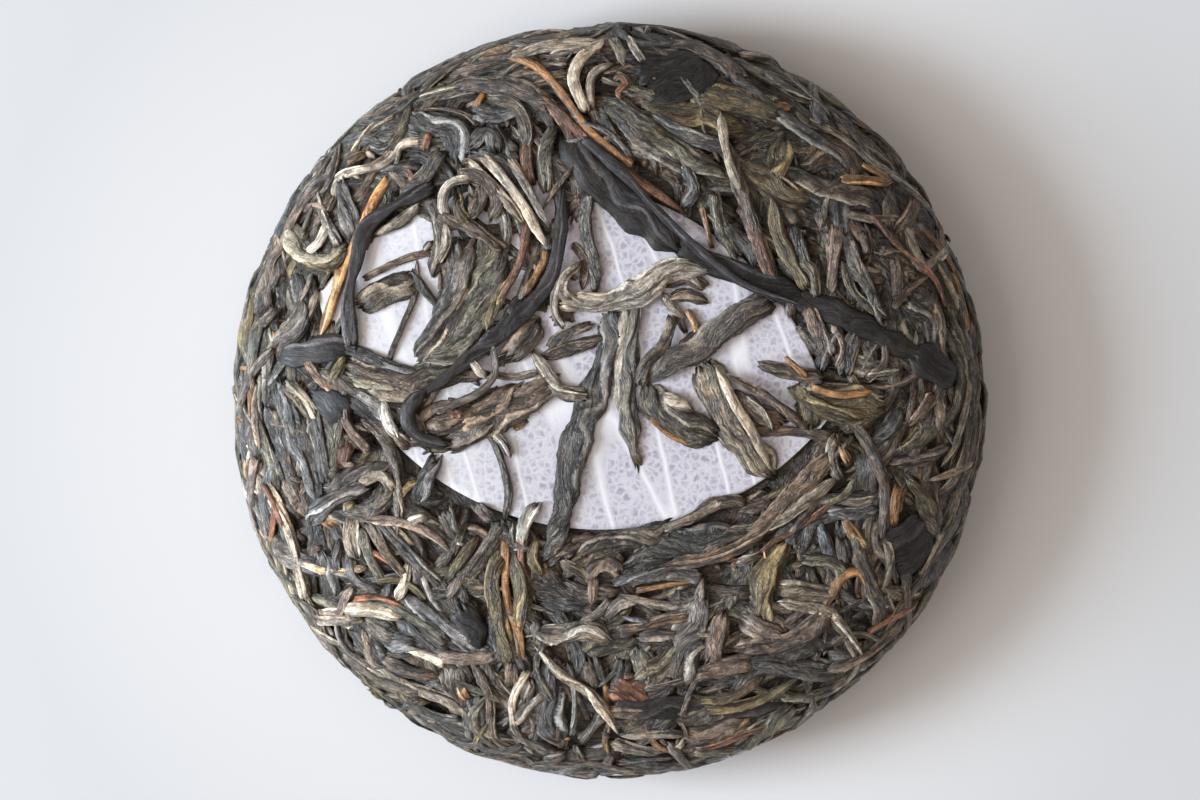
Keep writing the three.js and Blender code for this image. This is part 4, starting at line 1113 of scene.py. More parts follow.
    def join(
        self, patch: Patch, points: Array, colours: Array, along: Array, around: Array, turns: Array
    ) -> None:
        """Adds the swept rows to a patch as a closed skin.

        Args:
            patch: What the skin is added to.
            points: The points, by place and angle.
            colours: Their colours.
            along: The grain's place along the strand, by place.
            around: The grain's place round the strand, by place and angle.
            turns: The rolled layers passed, by place and angle.
        """
        rows, sides, _ = points.shape
        first = patch.add_points(points.reshape(-1, 3), colours.reshape(-1, 3))
        u = np.broadcast_to(along[:, None], around.shape)
        grain = self.corners(np.stack([u, around], -1))
        layers = self.corners(np.stack([turns, u], -1))
        patch.add_quads(first + round_faces(rows, sides).reshape(-1, 4), grain, layers)
        for ends, order in ((0, 1), (rows - 1, -1)):
            middle = points[ends].mean(0)
            tip = patch.add_points(middle[None], colours[ends].mean(0)[None])
            ring = first + ends * sides + np.arange(sides)
            fan = np.stack([np.full(sides, tip), ring, np.roll(ring, -1)], 1)[:, ::order]
            patch.add_triangles(fan, along[0] + self.rng.uniform(0, 1, (sides, 3, 2)))

    def corners(self, grid: Array) -> Array:
        """A map by place and angle as one by face corner."""
        around = (grid[:-1, :-1], grid[1:, :-1], grid[1:, 1:], grid[:-1, 1:])
        return np.stack(around, 2).reshape(-1, 4, 2)


def to_mesh(name: str, patch: Patch, material: bpy.types.Material) -> bpy.types.Object:
    """Makes a piece of a patch.

    Args:
        name: The piece's name.
        patch: Its points and faces, in mm.
        material: Its finish.

    Returns:
        The piece, linked to the scene.
    """
    points = np.concatenate(patch.points)
    quads = np.concatenate(patch.quads) if patch.quads else np.zeros((0, 4), int)
    triangles = np.concatenate(patch.triangles) if patch.triangles else np.zeros((0, 3), int)
    mesh = bpy.data.meshes.new(name)
    mesh.vertices.add(len(points))
    mesh.vertices.foreach_set("co", (points * MM).astype(np.float32).ravel())
    corners = np.concatenate([quads.ravel(), triangles.ravel()]).astype(np.int32)
    mesh.loops.add(len(corners))
    mesh.loops.foreach_set("vertex_index", corners)
    starts = np.concatenate([np.arange(len(quads)) * 4, len(quads) * 4 + np.arange(len(triangles)) * 3])
    mesh.polygons.add(len(starts))
    mesh.polygons.foreach_set("loop_start", starts.astype(np.int32))
    mesh.update(calc_edges=True)
    mesh.validate()
    mesh.shade_smooth()
    tint = mesh.color_attributes.new(name="leaf_tint", type="FLOAT_COLOR", domain="POINT")
    rgba = np.ones((len(points), 4), np.float32)
    rgba[:, :3] = np.concatenate(patch.colours)
    tint.data.foreach_set("color", rgba.ravel())
    maps = {
        "grain": patch.quad_grain + patch.triangle_grain,
        "turns": patch.quad_turns + patch.triangle_turns,
    }
    for title, corners_by_face in maps.items():
        layer = mesh.uv_layers.new(name=title)
        places = np.concatenate([corner.reshape(-1, 2) for corner in corners_by_face])
        layer.data.foreach_set("uv", places.astype(np.float32).ravel())
    mesh.materials.append(material)
    piece = bpy.data.objects.new(name, mesh)
    bpy.context.scene.collection.objects.link(piece)
    return piece


@dataclass
class LeafLayer:
    """Lays the smaller leaves that fill one face of the cake. Sizes in mm, spread in degrees.

    A leaf goes to the emptiest of a few offered places. It may lap over the near or the far edge of
    the tag by its overlap, drawn between two limits, and a negative one keeps clear of the tag.
    """

    zone: Zone
    count: int
    length: Pair
    width: Pair
    top: Pair
    spread: float
    rng: Draws
    mix: dict[Kind, int]
    detail: Detail = PLAIN
    offers: int = 9
    stalk_width: Pair = (0.8, 1.5)
    side_heights: Pair = (1.5, 16.5)
    edge_margin: float = 2
    under: float = -1.0
    flow_reach: float = 7.0
    stride: float = 2.2
    bend: float = 0.06
    wander: float = 0.1
    near_overlap: Pair = (-1.9, -1.0)
    far_overlap: Pair = (-0.6, 0.9)
    fewest_points: int = 4

    def lay(self) -> list[Strand]:
        """Lays the layer's leaves.

        Returns:
            The strands.
        """
        strands = []
        taken = np.zeros((0, 3))
        kinds = list(self.mix)
        odds = np.array([float(self.mix[kind]) for kind in kinds])
        while len(strands) < self.count:
            middle, taken = self.next_place(taken)
            heading = self.heading(middle)
            length = self.rng.uniform(*self.length) * (0.6 + 0.4 * self.rng.random())
            path = self.clear_of_tag(self.walk(middle, heading, length))
            if path is None:
                continue
            seats, normals = MOULD.seat(path)
            kind = kinds[self.rng.choice(len(kinds), p=odds / odds.sum())]
            width = self.rng.uniform(*self.width) * self.rng.uniform(0.75, 1.1)
            if kind in (STRAW, RED):
                width = min(width, self.rng.uniform(*self.stalk_width))
            top = self.rng.uniform(*self.top)
            strands.append(Strand(kind, seats, normals, width, top, self.detail))
        return strands

    def next_place(self, taken: Array) -> tuple[Array, Array]:
        """Picks the emptiest of a few random places.

        Args:
            taken: The places that have a leaf, one a row.

        Returns:
            The place, and the places taken with it added.
        """
        offers = np.concatenate([self.offer() for _ in range(self.offers)])
        if len(taken):
            gap = np.linalg.norm(offers[:, None, :] - taken[None, :, :], axis=2).min(1)
            best = offers[gap.argmax()]
        else:
            best = offers[0]
        return best, np.vstack([taken, best[None]])

    def offer(self) -> Array:
        """Picks a random place on the face.

        Returns:
            The place, as one row.
        """
        angle = self.rng.uniform(0, 2 * math.pi)
        out = np.array([math.cos(angle), math.sin(angle)])
        if self.zone is SIDE:
            edge = np.array([[*(out * MOULD.diameter / 2), self.rng.uniform(*self.side_heights)]])
            return MOULD.seat(edge)[0]
        radius = (MOULD.diameter / 2 - self.edge_margin) * math.sqrt(self.rng.random())
        if self.zone is TOP:
            return MOULD.over((out * radius)[None])[0]
        return MOULD.seat(np.array([[*(out * radius), self.under]]))[0]

    def heading(self, place: Array) -> Array:
        """The direction that leaves run in at a place, with a random turn.

        Args:
            place: The place on the face.

        Returns:
            The direction.
        """
        turn = math.radians(self.rng.normal(0, self.spread))
        if self.zone is SIDE:
            around = unit(np.array([-place[1], place[0], 0.0]))
            return around * math.cos(turn) + np.array([0, 0, math.sin(turn)])
        if self.zone is TOP:
            angle = self.run_angle(place) + turn
        else:
            angle = 1.5 * math.sin(place[0] / 15 + 0.7) + 1.2 * math.cos(place[1] / 13 - 0.4) + turn
        return np.array([math.cos(angle), math.sin(angle), 0.0])

    def run_angle(self, place: Array) -> float:
        """The angle in plan at a place, between the runs read from the photograph.

        Args:
            place: The place on the top.

        Returns:
            The angle in radians.
        """
        total = np.zeros(2)
        for px, py, degrees in LEAF_RUNS:
            x, y = from_photo(px, py)
            gap = (x - place[0]) ** 2 + (y - place[1]) ** 2
            weight = math.exp(-gap / (2 * self.flow_reach**2))
            doubled = math.radians(2 * degrees)
            total += weight * np.array([math.cos(doubled), math.sin(doubled)])
        return math.atan2(total[1], total[0]) / 2

    def walk(self, middle: Array, heading: Array, length: float) -> Array:
        """A wandering path over the mould, with a place as its middle.

        Args:
            middle: The place.
            heading: The direction there.
            length: The path's length.

        Returns:
            The points along the path.
        """
        half = max(int(length / self.stride), 2)
        step = length / (2 * half)
        bend = self.rng.normal(0, self.bend)
        wander = self.rng.normal(0, self.wander, 2 * half)
        arms = []
        for sign in (-1, 1):
            place, going = middle[None].copy(), heading * sign
            arm = []
            for i in range(half):
                seat, normal = MOULD.seat(place)
                going = unit(going - normal[0] * (going @ normal[0]))
                turn = sign * bend * step + wander[i + half * (sign > 0)]
                going = unit(going + np.cross(normal[0], going) * turn)
                place = seat + going * step
                arm.append(MOULD.seat(place)[0][0])
            arms.append(arm)
        return np.array(arms[0][::-1] + [middle] + arms[1])

    def clear_of_tag(self, path: Array) -> Array | None:
        """The longest part of a path that leaves the tag bare.

        Args:
            path: The points along the path.

        Returns:
            The points kept, or None where too few are left.
        """
        if self.zone is not TOP:
            return path
        near, far = self.rng.uniform(*self.near_overlap), self.rng.uniform(*self.far_overlap)
        limit = np.where(TAG.near_side(path[:, :2]), near, far)
        outside = (TAG.reach(path[:, :2]) < limit) | self.tangled(path)
        if outside.all():
            return path
        runs = np.flatnonzero(np.diff(np.concatenate([[0], outside.astype(int), [0]])))
        starts, ends = runs[::2], runs[1::2]
        if not len(starts):
            return None
        longest = (ends - starts).argmax()
        kept = path[starts[longest] : ends[longest]]
        return kept if len(kept) >= self.fewest_points else None

    def tangled(self, path: Array) -> Array:
        """Which points of a path lie where leaves cover the tag.

        Args:
            path: The points along the path.

        Returns:
            True or False for each point.
        """
        inside = np.zeros(len(path), bool)
        for px, py, reach in TANGLES:
            x, y = from_photo(px, py)
            inside |= np.hypot(path[:, 0] - x, path[:, 1] - y) < reach * PIXEL_MM
        return inside


@dataclass
class SeenLeaves:
    """Lays the leaves that were read from the photograph. Sizes in mm."""

    rng: Draws
    variety: float = 0.35
    jitter: float = 0.08
    in_paper: float = 0.1
    smoothing: int = 12
    tops: dict[Lie, float] = field(
        default_factory=lambda: {SUNK: -0.2, FLUSH: 0.05, ON_TAG: 0.1, CROSSING: 0.65}
    )

    def lay(self) -> list[Strand]:
        """Lays them all.

        Returns:
            The strands.
        """
        return [self.strand(note) for note in LEAVES_SEEN]

    def strand(self, note: Seen) -> Strand:
        """Lays one leaf of the photograph. One on the tag lies on the paper.

        Args:
            note: The leaf.

        Returns:
            The strand.
        """
        corners = np.array([from_photo(*pixel) for pixel in note.path])
        seats, normals = MOULD.over(self.smooth(corners))
        width = note.width * PIXEL_MM
        top = self.tops[note.lie] + self.rng.uniform(-self.jitter, self.jitter)
        if note.lie is ON_TAG:
            height = HABITS[note.kind].thickness(width)
            top = min(top, height * 0.9 - TAG.depth + self.in_paper)
        return Strand(note.kind, seats, normals, width, top, FINE, self.variety)

    def smooth(self, corners: Array) -> Array:
        """A smooth path through the corners, by Catmull and Rom's rule.

        Args:
            corners: The places that the path goes through.

        Returns:
            Many places along the path.
        """
        ends = np.vstack([2 * corners[0] - corners[1], corners, 2 * corners[-1] - corners[-2]])
        part = np.linspace(0, 1, self.smoothing, endpoint=False)[:, None]
        pieces = []
        for a, b, c, d in zip(ends, ends[1:], ends[2:], ends[3:]):
            curve = 2 * b + (c - a) * part + (2 * a - 5 * b + 4 * c - d) * part**2
            pieces.append((curve + (3 * b - a - 3 * c + d) * part**3) / 2)
        pieces.append(corners[-1:])
        return np.vstack(pieces)


# How often each kind comes up among the broader leaves, the thin ones and the crumbs
DARK_MIX = {CHARCOAL: 34, SLATE: 24, GREEN: 17, BROWN: 13, OLIVE: 6, SILVER: 4, RED: 1, STRAW: 1}
THIN_MIX = {CHARCOAL: 27, SLATE: 18, GREEN: 15, BROWN: 18, OLIVE: 6, SILVER: 9, RED: 4, STRAW: 2}
CRUMB_MIX = {CHARCOAL: 22, SLATE: 14, GREEN: 12, BROWN: 20, OLIVE: 8, SILVER: 12, RED: 7, STRAW: 4}


@dataclass(frozen=True)
class LeafFinish:
    """The finish of dry rolled leaf: ridges and grooves that run along it, pale crests of wear and painted
    highlight, and painted shade in the grooves.

    Colours are as the eye sees them, 0 to 255. Ridges, ribs and threads are counted per mm.
    """

    name: str
    # The pale crests: partly wear, partly painted highlight
    crest: Colour = (196, 182, 156)
    accent: Colour = (150, 104, 66)
    crest_share: float = 0.95
    accent_share: float = 0.4
    groove_share: float = 0.8
    imprint: float = 0.2
    ridges: float = 1.9
    ribs: float = 4.2
    threads: float = 9.0
    # The fold noise's lightening and darkening: partly the leaf's own streaks, partly painted shade in the
    # hollows
    contrast: float = 0.74
    streaks: float = 0.55
    roughness: Pair = (0.3, 0.6)
    specular: float = 0.75
    bump: float = 1.0
    relief: float = 0.34 * MM
    swerve: float = 0.9
    # The tint's share left in the painted shade of the grooves
    groove_colour: float = 0.14
    crest_tint: float = 3.8
    crest_mix: float = 0.42
    weave_count: float = 3.6

    def build(self) -> bpy.types.Material:
        """Makes the material.

        Returns:
            The material.
        """
        nodes = NodeBoard(self.name)
        grain = nodes.map_of("grain")
        tint = nodes.wire("ShaderNodeAttribute", {}, "Color", attribute_name="leaf_tint")
        swerve = nodes.grain(grain, (0.45, 0.7), 2.0, 0.5, "Color")
        bent = nodes.pushed(grain, swerve, self.swerve)
        folds = nodes.grain(bent, (0.16, self.ridges), 3.5, 0.6)
        ribs = nodes.grain(bent, (0.7, self.ribs), 2.0, 0.5)
        threads = nodes.grain(bent, (2.2, self.threads), 2.0, 0.6)
        pits = nodes.grain(bent, (3.2, 4.5), 3.0, 0.6)
        patches = nodes.grain(grain, (0.55, 0.8), 3.0, 0.55)
        lip, cut = self.edges(nodes, pits)
        weave = self.weave(nodes, grain)
        gain = self.gain(nodes, folds, ribs, threads, pits, patches, weave)
        # Pale crest lines and lips: partly wear, partly painted highlight
        rib_crests = nodes.maths("MULTIPLY", nodes.line(ribs, 0.5, 0.06), 0.4)
        fold_crests = (nodes.line(folds, 0.5, 0.04), nodes.line(folds, 0.62, 0.03))
        crests = nodes.joined("MAXIMUM", *fold_crests, rib_crests, lip)
        # Painted shade in the hollows, on fold lines and in the gap beside each lip
        hollows = nodes.spread(folds, 0.33, 0.43, 1.0, 0.0)
        grooves = nodes.joined("MAXIMUM", hollows, nodes.line(folds, 0.56, 0.02), cut)
        body = nodes.scale_colour(tint, gain)
        wear_and_highlight = nodes.maths("MULTIPLY", crests, nodes.spread(patches, 0.36, 0.6, 0.15, self.crest_share))
        pale = nodes.mix(opaque(self.crest), nodes.scale_colour(tint, self.crest_tint), self.crest_mix)
        ridged = nodes.mix(body, pale, wear_and_highlight)
        stain = nodes.grain(bent, (0.3, 1.1), 3.0, 0.6)
        rusty = nodes.spread(stain, 0.56, 0.68, 0.0, self.accent_share)
        rust = nodes.mix(nodes.scale_colour(tint, 1.15), opaque(self.accent), 0.55)
        rusted = nodes.mix(ridged, nodes.scale_colour(rust, gain), rusty)
        # Painted shade in the grooves
        deep = nodes.maths("MULTIPLY", grooves, self.groove_share)
        grooved = nodes.mix(rusted, nodes.scale_colour(tint, self.groove_colour), deep)
        height = nodes.total(
            (folds, 1.0), (crests, 0.2), (ribs, 0.3), (threads, 0.12), (pits, 0.14), (weave, 0.05)
        )
        height = nodes.maths("SUBTRACT", height, nodes.maths("MULTIPLY", grooves, 0.12))
        shader = nodes.add("ShaderNodeBsdfPrincipled")
        shader.inputs["Specular IOR Level"].default_value = self.specular
        nodes.link(grooved, shader.inputs["Base Color"])
        nodes.link(nodes.spread(ribs, 0.3, 0.7, *self.roughness), shader.inputs["Roughness"])
        nodes.bump(height, self.bump, self.relief, shader)
        return nodes.finish(shader)

    def edges(self, nodes: "NodeBoard", pits: Socket) -> tuple[Socket, Socket]:
        """The pale lip of each rolled layer, a painted highlight, and the painted shadow in the gap beside
        it.

        Args:
            nodes: The material's nodes.
            pits: The noise that makes the lip ragged.

        Returns:
            The lip's painted highlight and the gap's painted shadow, 0 to 1 each.
        """
        turns = nodes.axis(nodes.map_of("turns"), "X")
        ragged = nodes.maths("ADD", turns, nodes.spread(pits, 0.3, 0.7, -0.03, 0.03))
        share = nodes.maths("FRACT", ragged, 0.0)
        return nodes.spread(share, 0.87, 0.94, 0.0, 1.0), nodes.spread(share, 0.02, 0.09, 1.0, 0.0)

    def weave(self, nodes: "NodeBoard", grain: Socket) -> Socket:
        """The fine net that the pressing cloth left on some of the leaves.

        Args:
            nodes: The material's nodes.
            grain: The coordinates along and round the strand, in mm.

        Returns:
            The net, -1 to 1.
        """
        threads = [nodes.ripple(grain, axis, self.weave_count) for axis in ("X", "Y")]
        lines = nodes.maths("MULTIPLY", *threads)
        where = nodes.grain(grain, (0.06, 0.06), 1.0, 0.5)
        return nodes.maths("MULTIPLY", lines, nodes.spread(where, 0.5, 0.58, 0.0, 1.0))

    def gain(
        self,
        nodes: "NodeBoard",
        folds: Socket,
        ribs: Socket,
        threads: Socket,
        pits: Socket,
        patches: Socket,
        weave: Socket,
    ) -> Socket:
        """How much lighter or darker than its tint each place is: the leaf's own mottling and streaks, and
        painted shade where the noises that also raise the bump are low.

        Args:
            nodes: The material's nodes.
            folds: The noise of the broad folds.
            ribs: The noise of the ribs on them.
            threads: The noise of the finest streaks.
            pits: The noise of the small pits.
            patches: The noise of the large pale and dark patches.
            weave: The net of the pressing cloth.

        Returns:
            The gain, 1 for none.
        """
        rib, thread = 0.3 * self.streaks, 0.2 * self.streaks
        return nodes.joined(
            "MULTIPLY",
            nodes.spread(folds, 0.35, 0.65, 1 - self.contrast, 1 + self.contrast),
            nodes.spread(ribs, 0.32, 0.68, 1 - rib, 1 + rib),
            nodes.spread(threads, 0.32, 0.68, 1 - thread, 1 + thread),
            nodes.spread(pits, 0.3, 0.7, 0.56, 1.55),
            nodes.spread(patches, 0.3, 0.7, 0.52, 1.72),
            nodes.spread(weave, -1.0, 1.0, 1 - self.imprint, 1 + self.imprint),
        )


FINISHES = {
    CHARCOAL: LeafFinish("charcoal_leaf"),
    SLATE: LeafFinish("slate_leaf", crest=(184, 182, 174), accent=(126, 106, 84)),
    GREEN: LeafFinish("green_leaf", crest=(194, 186, 156), accent=(138, 108, 60)),
    BLACK: LeafFinish(
        "black_leaf", crest=(128, 124, 122), accent=(92, 74, 58),
        crest_share=0.3, contrast=0.25, streaks=0.3, specular=0.5, bump=0.32,
    ),
    OLIVE: LeafFinish("olive_leaf", crest=(182, 166, 122), accent=(158, 112, 58)),
    BROWN: LeafFinish("brown_leaf", crest=(200, 178, 150), accent=(150, 96, 56)),
    RED: LeafFinish(
        "red_stalk", crest=(190, 148, 114), accent=(138, 78, 46), contrast=0.35, streaks=0.4, bump=0.7
    ),
    SILVER: LeafFinish(
        "silver_leaf", crest=(228, 219, 198), accent=(160, 122, 82), crest_share=0.8, groove_share=0.7
    ),
    STRAW: LeafFinish(
        "straw_stalk", crest=(210, 176, 128), accent=(164, 104, 54),
        accent_share=0.7, groove_share=0.35, streaks=0.4, bump=0.5,
    ),
    DOWNY: LeafFinish(
        "downy_bud", crest=(232, 223, 203), accent=(170, 132, 90),
        groove_share=0.45, contrast=0.3, streaks=0.5, bump=0.7,
    ),
}


@dataclass
class NodeBoard:
    """A material's nodes, with short ways to add the usual ones."""

    name: str
    material: bpy.types.Material = field(init=False)

    def __post_init__(self) -> None:
        """Makes the empty material."""
        self.material = bpy.data.materials.new(self.name)
        self.material.use_nodes = True
        self.material.node_tree.nodes.clear()

    def add(self, kind: str, **settings: object) -> bpy.types.Node:
        """Adds a node.

        Args:
            kind: Blender's name for the type of node.
            settings: Properties of the node and their values.

        Returns:
            The node.
        """
        node = self.material.node_tree.nodes.new(kind)
        for key, value in settings.items():
            setattr(node, key, value)
        return node

    def link(self, source: Socket, target: Socket) -> None:
        """Joins an output to an input."""
        self.material.node_tree.links.new(source, target)

    def wire(
        self, kind: str, inputs: dict[str | int, object], output: str | int, **settings: object
    ) -> Socket:
        """Adds a node and sets or joins its inputs.

        Args:
            kind: Blender's name for the type of node.
            inputs: A number, colour or output for each input, by its name or place.
            output: The name or place of the output that is used.
            settings: Properties of the node and their values.

        Returns:
            That output.
        """
        node = self.add(kind, **settings)
        for key, value in inputs.items():
            if isinstance(value, Socket):
                self.link(value, node.inputs[key])
            else:
                node.inputs[key].default_value = value
        return node.outputs[output]

    def map_of(self, name: str) -> Socket:
        """The coordinates that a named map of the mesh holds."""
        return self.wire("ShaderNodeUVMap", {}, "UV", uv_map=name)

    def place(self) -> Socket:
        """The places of the object's own points, in metres."""
        return self.wire("ShaderNodeTexCoord", {}, "Object")

    def scaled(self, vector: Socket, scale: Triple) -> Socket:
        """Coordinates stretched along each axis."""
        return self.wire("ShaderNodeMapping", {"Vector": vector, "Scale": scale}, "Vector")

    def turned(self, vector: Socket, angle: float) -> Socket:
        """Coordinates turned in plan, by an angle in radians."""
        return self.wire("ShaderNodeMapping", {"Vector": vector, "Rotation": (0.0, 0.0, angle)}, "Vector")

    def noise(
        self, vector: Socket, scale: float, detail: float, rough: float, output: str = "Fac"
    ) -> Socket:
        """Clouded noise, 0 to 1, or three of them as a Color: its clouds per unit, and the finer ones."""
        inputs = {"Vector": vector, "Scale": scale, "Detail": detail, "Roughness": rough}
        return self.wire("ShaderNodeTexNoise", inputs, output)

    def grain(
        self, vector: Socket, counts: Pair, detail: float, rough: float, output: str = "Fac"
    ) -> Socket:
        """Clouded noise that is drawn out, with its own count of clouds along each axis."""
        return self.noise(self.scaled(vector, (*counts, 1.0)), 1.0, detail, rough, output)

    def pushed(self, vector: Socket, colour: Socket, reach: float) -> Socket:
        """Coordinates pushed about by a colour, which is stretched to a reach."""
        inputs = {0: colour, 1: (reach, reach, reach), 2: vector}
        return self.wire("ShaderNodeVectorMath", inputs, "Vector", operation="MULTIPLY_ADD")

    def axis(self, vector: Socket, name: str) -> Socket:
        """One axis of some coordinates: X, Y or Z."""
        return self.wire("ShaderNodeSeparateXYZ", {"Vector": vector}, name)

    def ripple(self, vector: Socket, axis: str, count: float) -> Socket:
        """Even waves along an axis, -1 to 1, counted per unit."""
        turned = self.maths("MULTIPLY", self.axis(vector, axis), 2 * math.pi * count)
        return self.maths("SINE", turned, 0.0)

    def joined(self, operation: str, *values: object) -> Socket:
        """Several values joined by one sum after another."""
        return reduce(lambda first, second: self.maths(operation, first, second), values)

    def total(self, *parts: tuple[Socket, float]) -> Socket:
        """The sum of some values, each with its own weight."""
        return self.joined("ADD", *[self.maths("MULTIPLY", value, weight) for value, weight in parts])

    def line(self, value: Socket, level: float, reach: float) -> Socket:
        """A soft line where a value passes a level: 1 on it, and 0 further off than its reach."""
        gap = self.maths("ABSOLUTE", self.maths("SUBTRACT", value, level), 0.0)
        return self.spread(gap, 0.0, reach, 1.0, 0.0)

    def bump(self, height: Socket, strength: float, distance: float, shader: bpy.types.Node) -> None:
        """Raises a shader's surface by a height of 0 to 1, where 1 is a distance in metres."""
        inputs = {"Height": height, "Strength": strength, "Distance": distance}
        self.link(self.wire("ShaderNodeBump", inputs, "Normal"), shader.inputs["Normal"])

    def spread(self, value: Socket, low: float, high: float, to_low: float, to_high: float) -> Socket:
        """A value's range, low to high, stretched to another one, and held inside it."""
        inputs = {"Value": value, "From Min": low, "From Max": high, "To Min": to_low, "To Max": to_high}
        return self.wire("ShaderNodeMapRange", inputs, "Result", clamp=True)

    def maths(self, operation: str, first: object, second: object) -> Socket:
        """Two values joined by a sum, by Blender's name for it."""
        return self.wire("ShaderNodeMath", {0: first, 1: second}, "Value", operation=operation)

    def scale_colour(self, colour: Socket, gain: object) -> Socket:
        """A colour made lighter or darker by a value."""
        return self.wire("ShaderNodeVectorMath", {0: colour, "Scale": gain}, "Vector", operation="SCALE")

    def mix(self, first: object, second: object, share: object) -> Socket:
        """A mix of two colours, with a share of the second."""
        return self.wire("ShaderNodeMix", {"Factor": share, 6: first, 7: second}, 2, data_type="RGBA")

    def finish(self, shader: bpy.types.Node) -> bpy.types.Material:
        """Joins the shader to the output and gives the material."""
        self.link(shader.outputs["BSDF"], self.add("ShaderNodeOutputMaterial").inputs["Surface"])
        return self.material


@dataclass
class PressedLeaves:
    """All the leaves of the cake, gathered into one piece for each kind and face."""

    rng: Draws

    def build(self) -> list[bpy.types.Object]:
        """Lays, sweeps and dresses the leaves.

        Returns:
            The pieces.
        """
        sweeper = Sweeper(self.rng)
        patches: dict[str, Patch] = {}
        for zone, strands in self.lay_all():
            for strand in strands:
                name = self.piece_name(strand.kind, zone)
                patch = patches.setdefault(name, Patch())
                sweeper.sweep(strand, patch)
        pieces = []
        finishes = {kind.value: finish.build() for kind, finish in FINISHES.items()}
        for name, patch in patches.items():
            piece = to_mesh(name, patch, finishes[name.split("_")[0]])
            dress(piece, "tea_cake")
            log.info("%s: %d triangles", name, patch.triangle_count())
            pieces.append(piece)
        return pieces

    def lay_all(self) -> list[tuple[Zone, list[Strand]]]:
        """Lays the leaves of each face, the lowest first.

        Returns:
            The faces and their strands.
        """
        rng = self.rng
        # The face, the number of leaves, their length, width and height of top, their spread and mix
        layers = [
            LeafLayer(TOP, 150, (12, 24), (2.0, 4.4), (-1.25, -0.8), 24, rng, DARK_MIX, CLOSE),
            LeafLayer(TOP, 250, (8, 22), (1.6, 3.8), (-0.85, -0.35), 28, rng, DARK_MIX, CLOSE),
            LeafLayer(TOP, 190, (5, 16), (0.7, 1.9), (-0.6, -0.1), 36, rng, THIN_MIX, CLOSE),
            LeafLayer(SIDE, 130, (10, 24), (2.2, 4.4), (-0.85, -0.35), 22, rng, DARK_MIX),
            LeafLayer(SIDE, 190, (9, 26), (1.5, 3.4), (-0.35, 0.25), 26, rng, DARK_MIX),
            LeafLayer(SIDE, 110, (4, 14), (0.6, 1.6), (-0.15, 0.4), 34, rng, THIN_MIX),
            LeafLayer(BASE, 150, (10, 24), (2.2, 4.6), (-1.1, -0.6), 22, rng, DARK_MIX),
            LeafLayer(BASE, 260, (8, 22), (1.5, 3.6), (-0.6, -0.1), 26, rng, DARK_MIX),
            LeafLayer(BASE, 110, (5, 14), (0.7, 1.8), (-0.35, 0.0), 30, rng, THIN_MIX),
            LeafLayer(TOP, 330, (0.8, 3.2), (0.4, 1.3), (-0.8, -0.15), 70, rng, CRUMB_MIX, CRUMB),
            LeafLayer(SIDE, 200, (0.8, 3.0), (0.4, 1.2), (-0.5, 0.2), 60, rng, CRUMB_MIX, CRUMB),
            LeafLayer(BASE, 260, (0.8, 3.2), (0.4, 1.3), (-0.7, -0.05), 70, rng, CRUMB_MIX, CRUMB),
        ]
        laid = [(layer.zone, layer.lay()) for layer in layers]
        return laid + [(TOP, SeenLeaves(rng).lay())]

    def piece_name(self, kind: Kind, zone: Zone) -> str:
        """Names the piece that a leaf goes into. Common kinds have a piece for each face.

        Args:
            kind: The kind of leaf.
            zone: The face that it lies on.

        Returns:
            The piece's name.
        """
        plural = {STRAW: "stalks", RED: "stalks", DOWNY: "buds"}.get(kind, "leaves")
        if kind in (CHARCOAL, SLATE, GREEN, BROWN):
            return f"{kind.value}_{plural}_{zone.value}"
        return f"{kind.value}_{plural}"


def dress(piece: bpy.types.Object, node: str) -> None:
    """Sets what a piece rides on, and hides the node of the frame that it stands for.

    Args:
        piece: The piece.
        node: The node of the frame that it stands for.
    """
    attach(piece, "root")
    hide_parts(node)


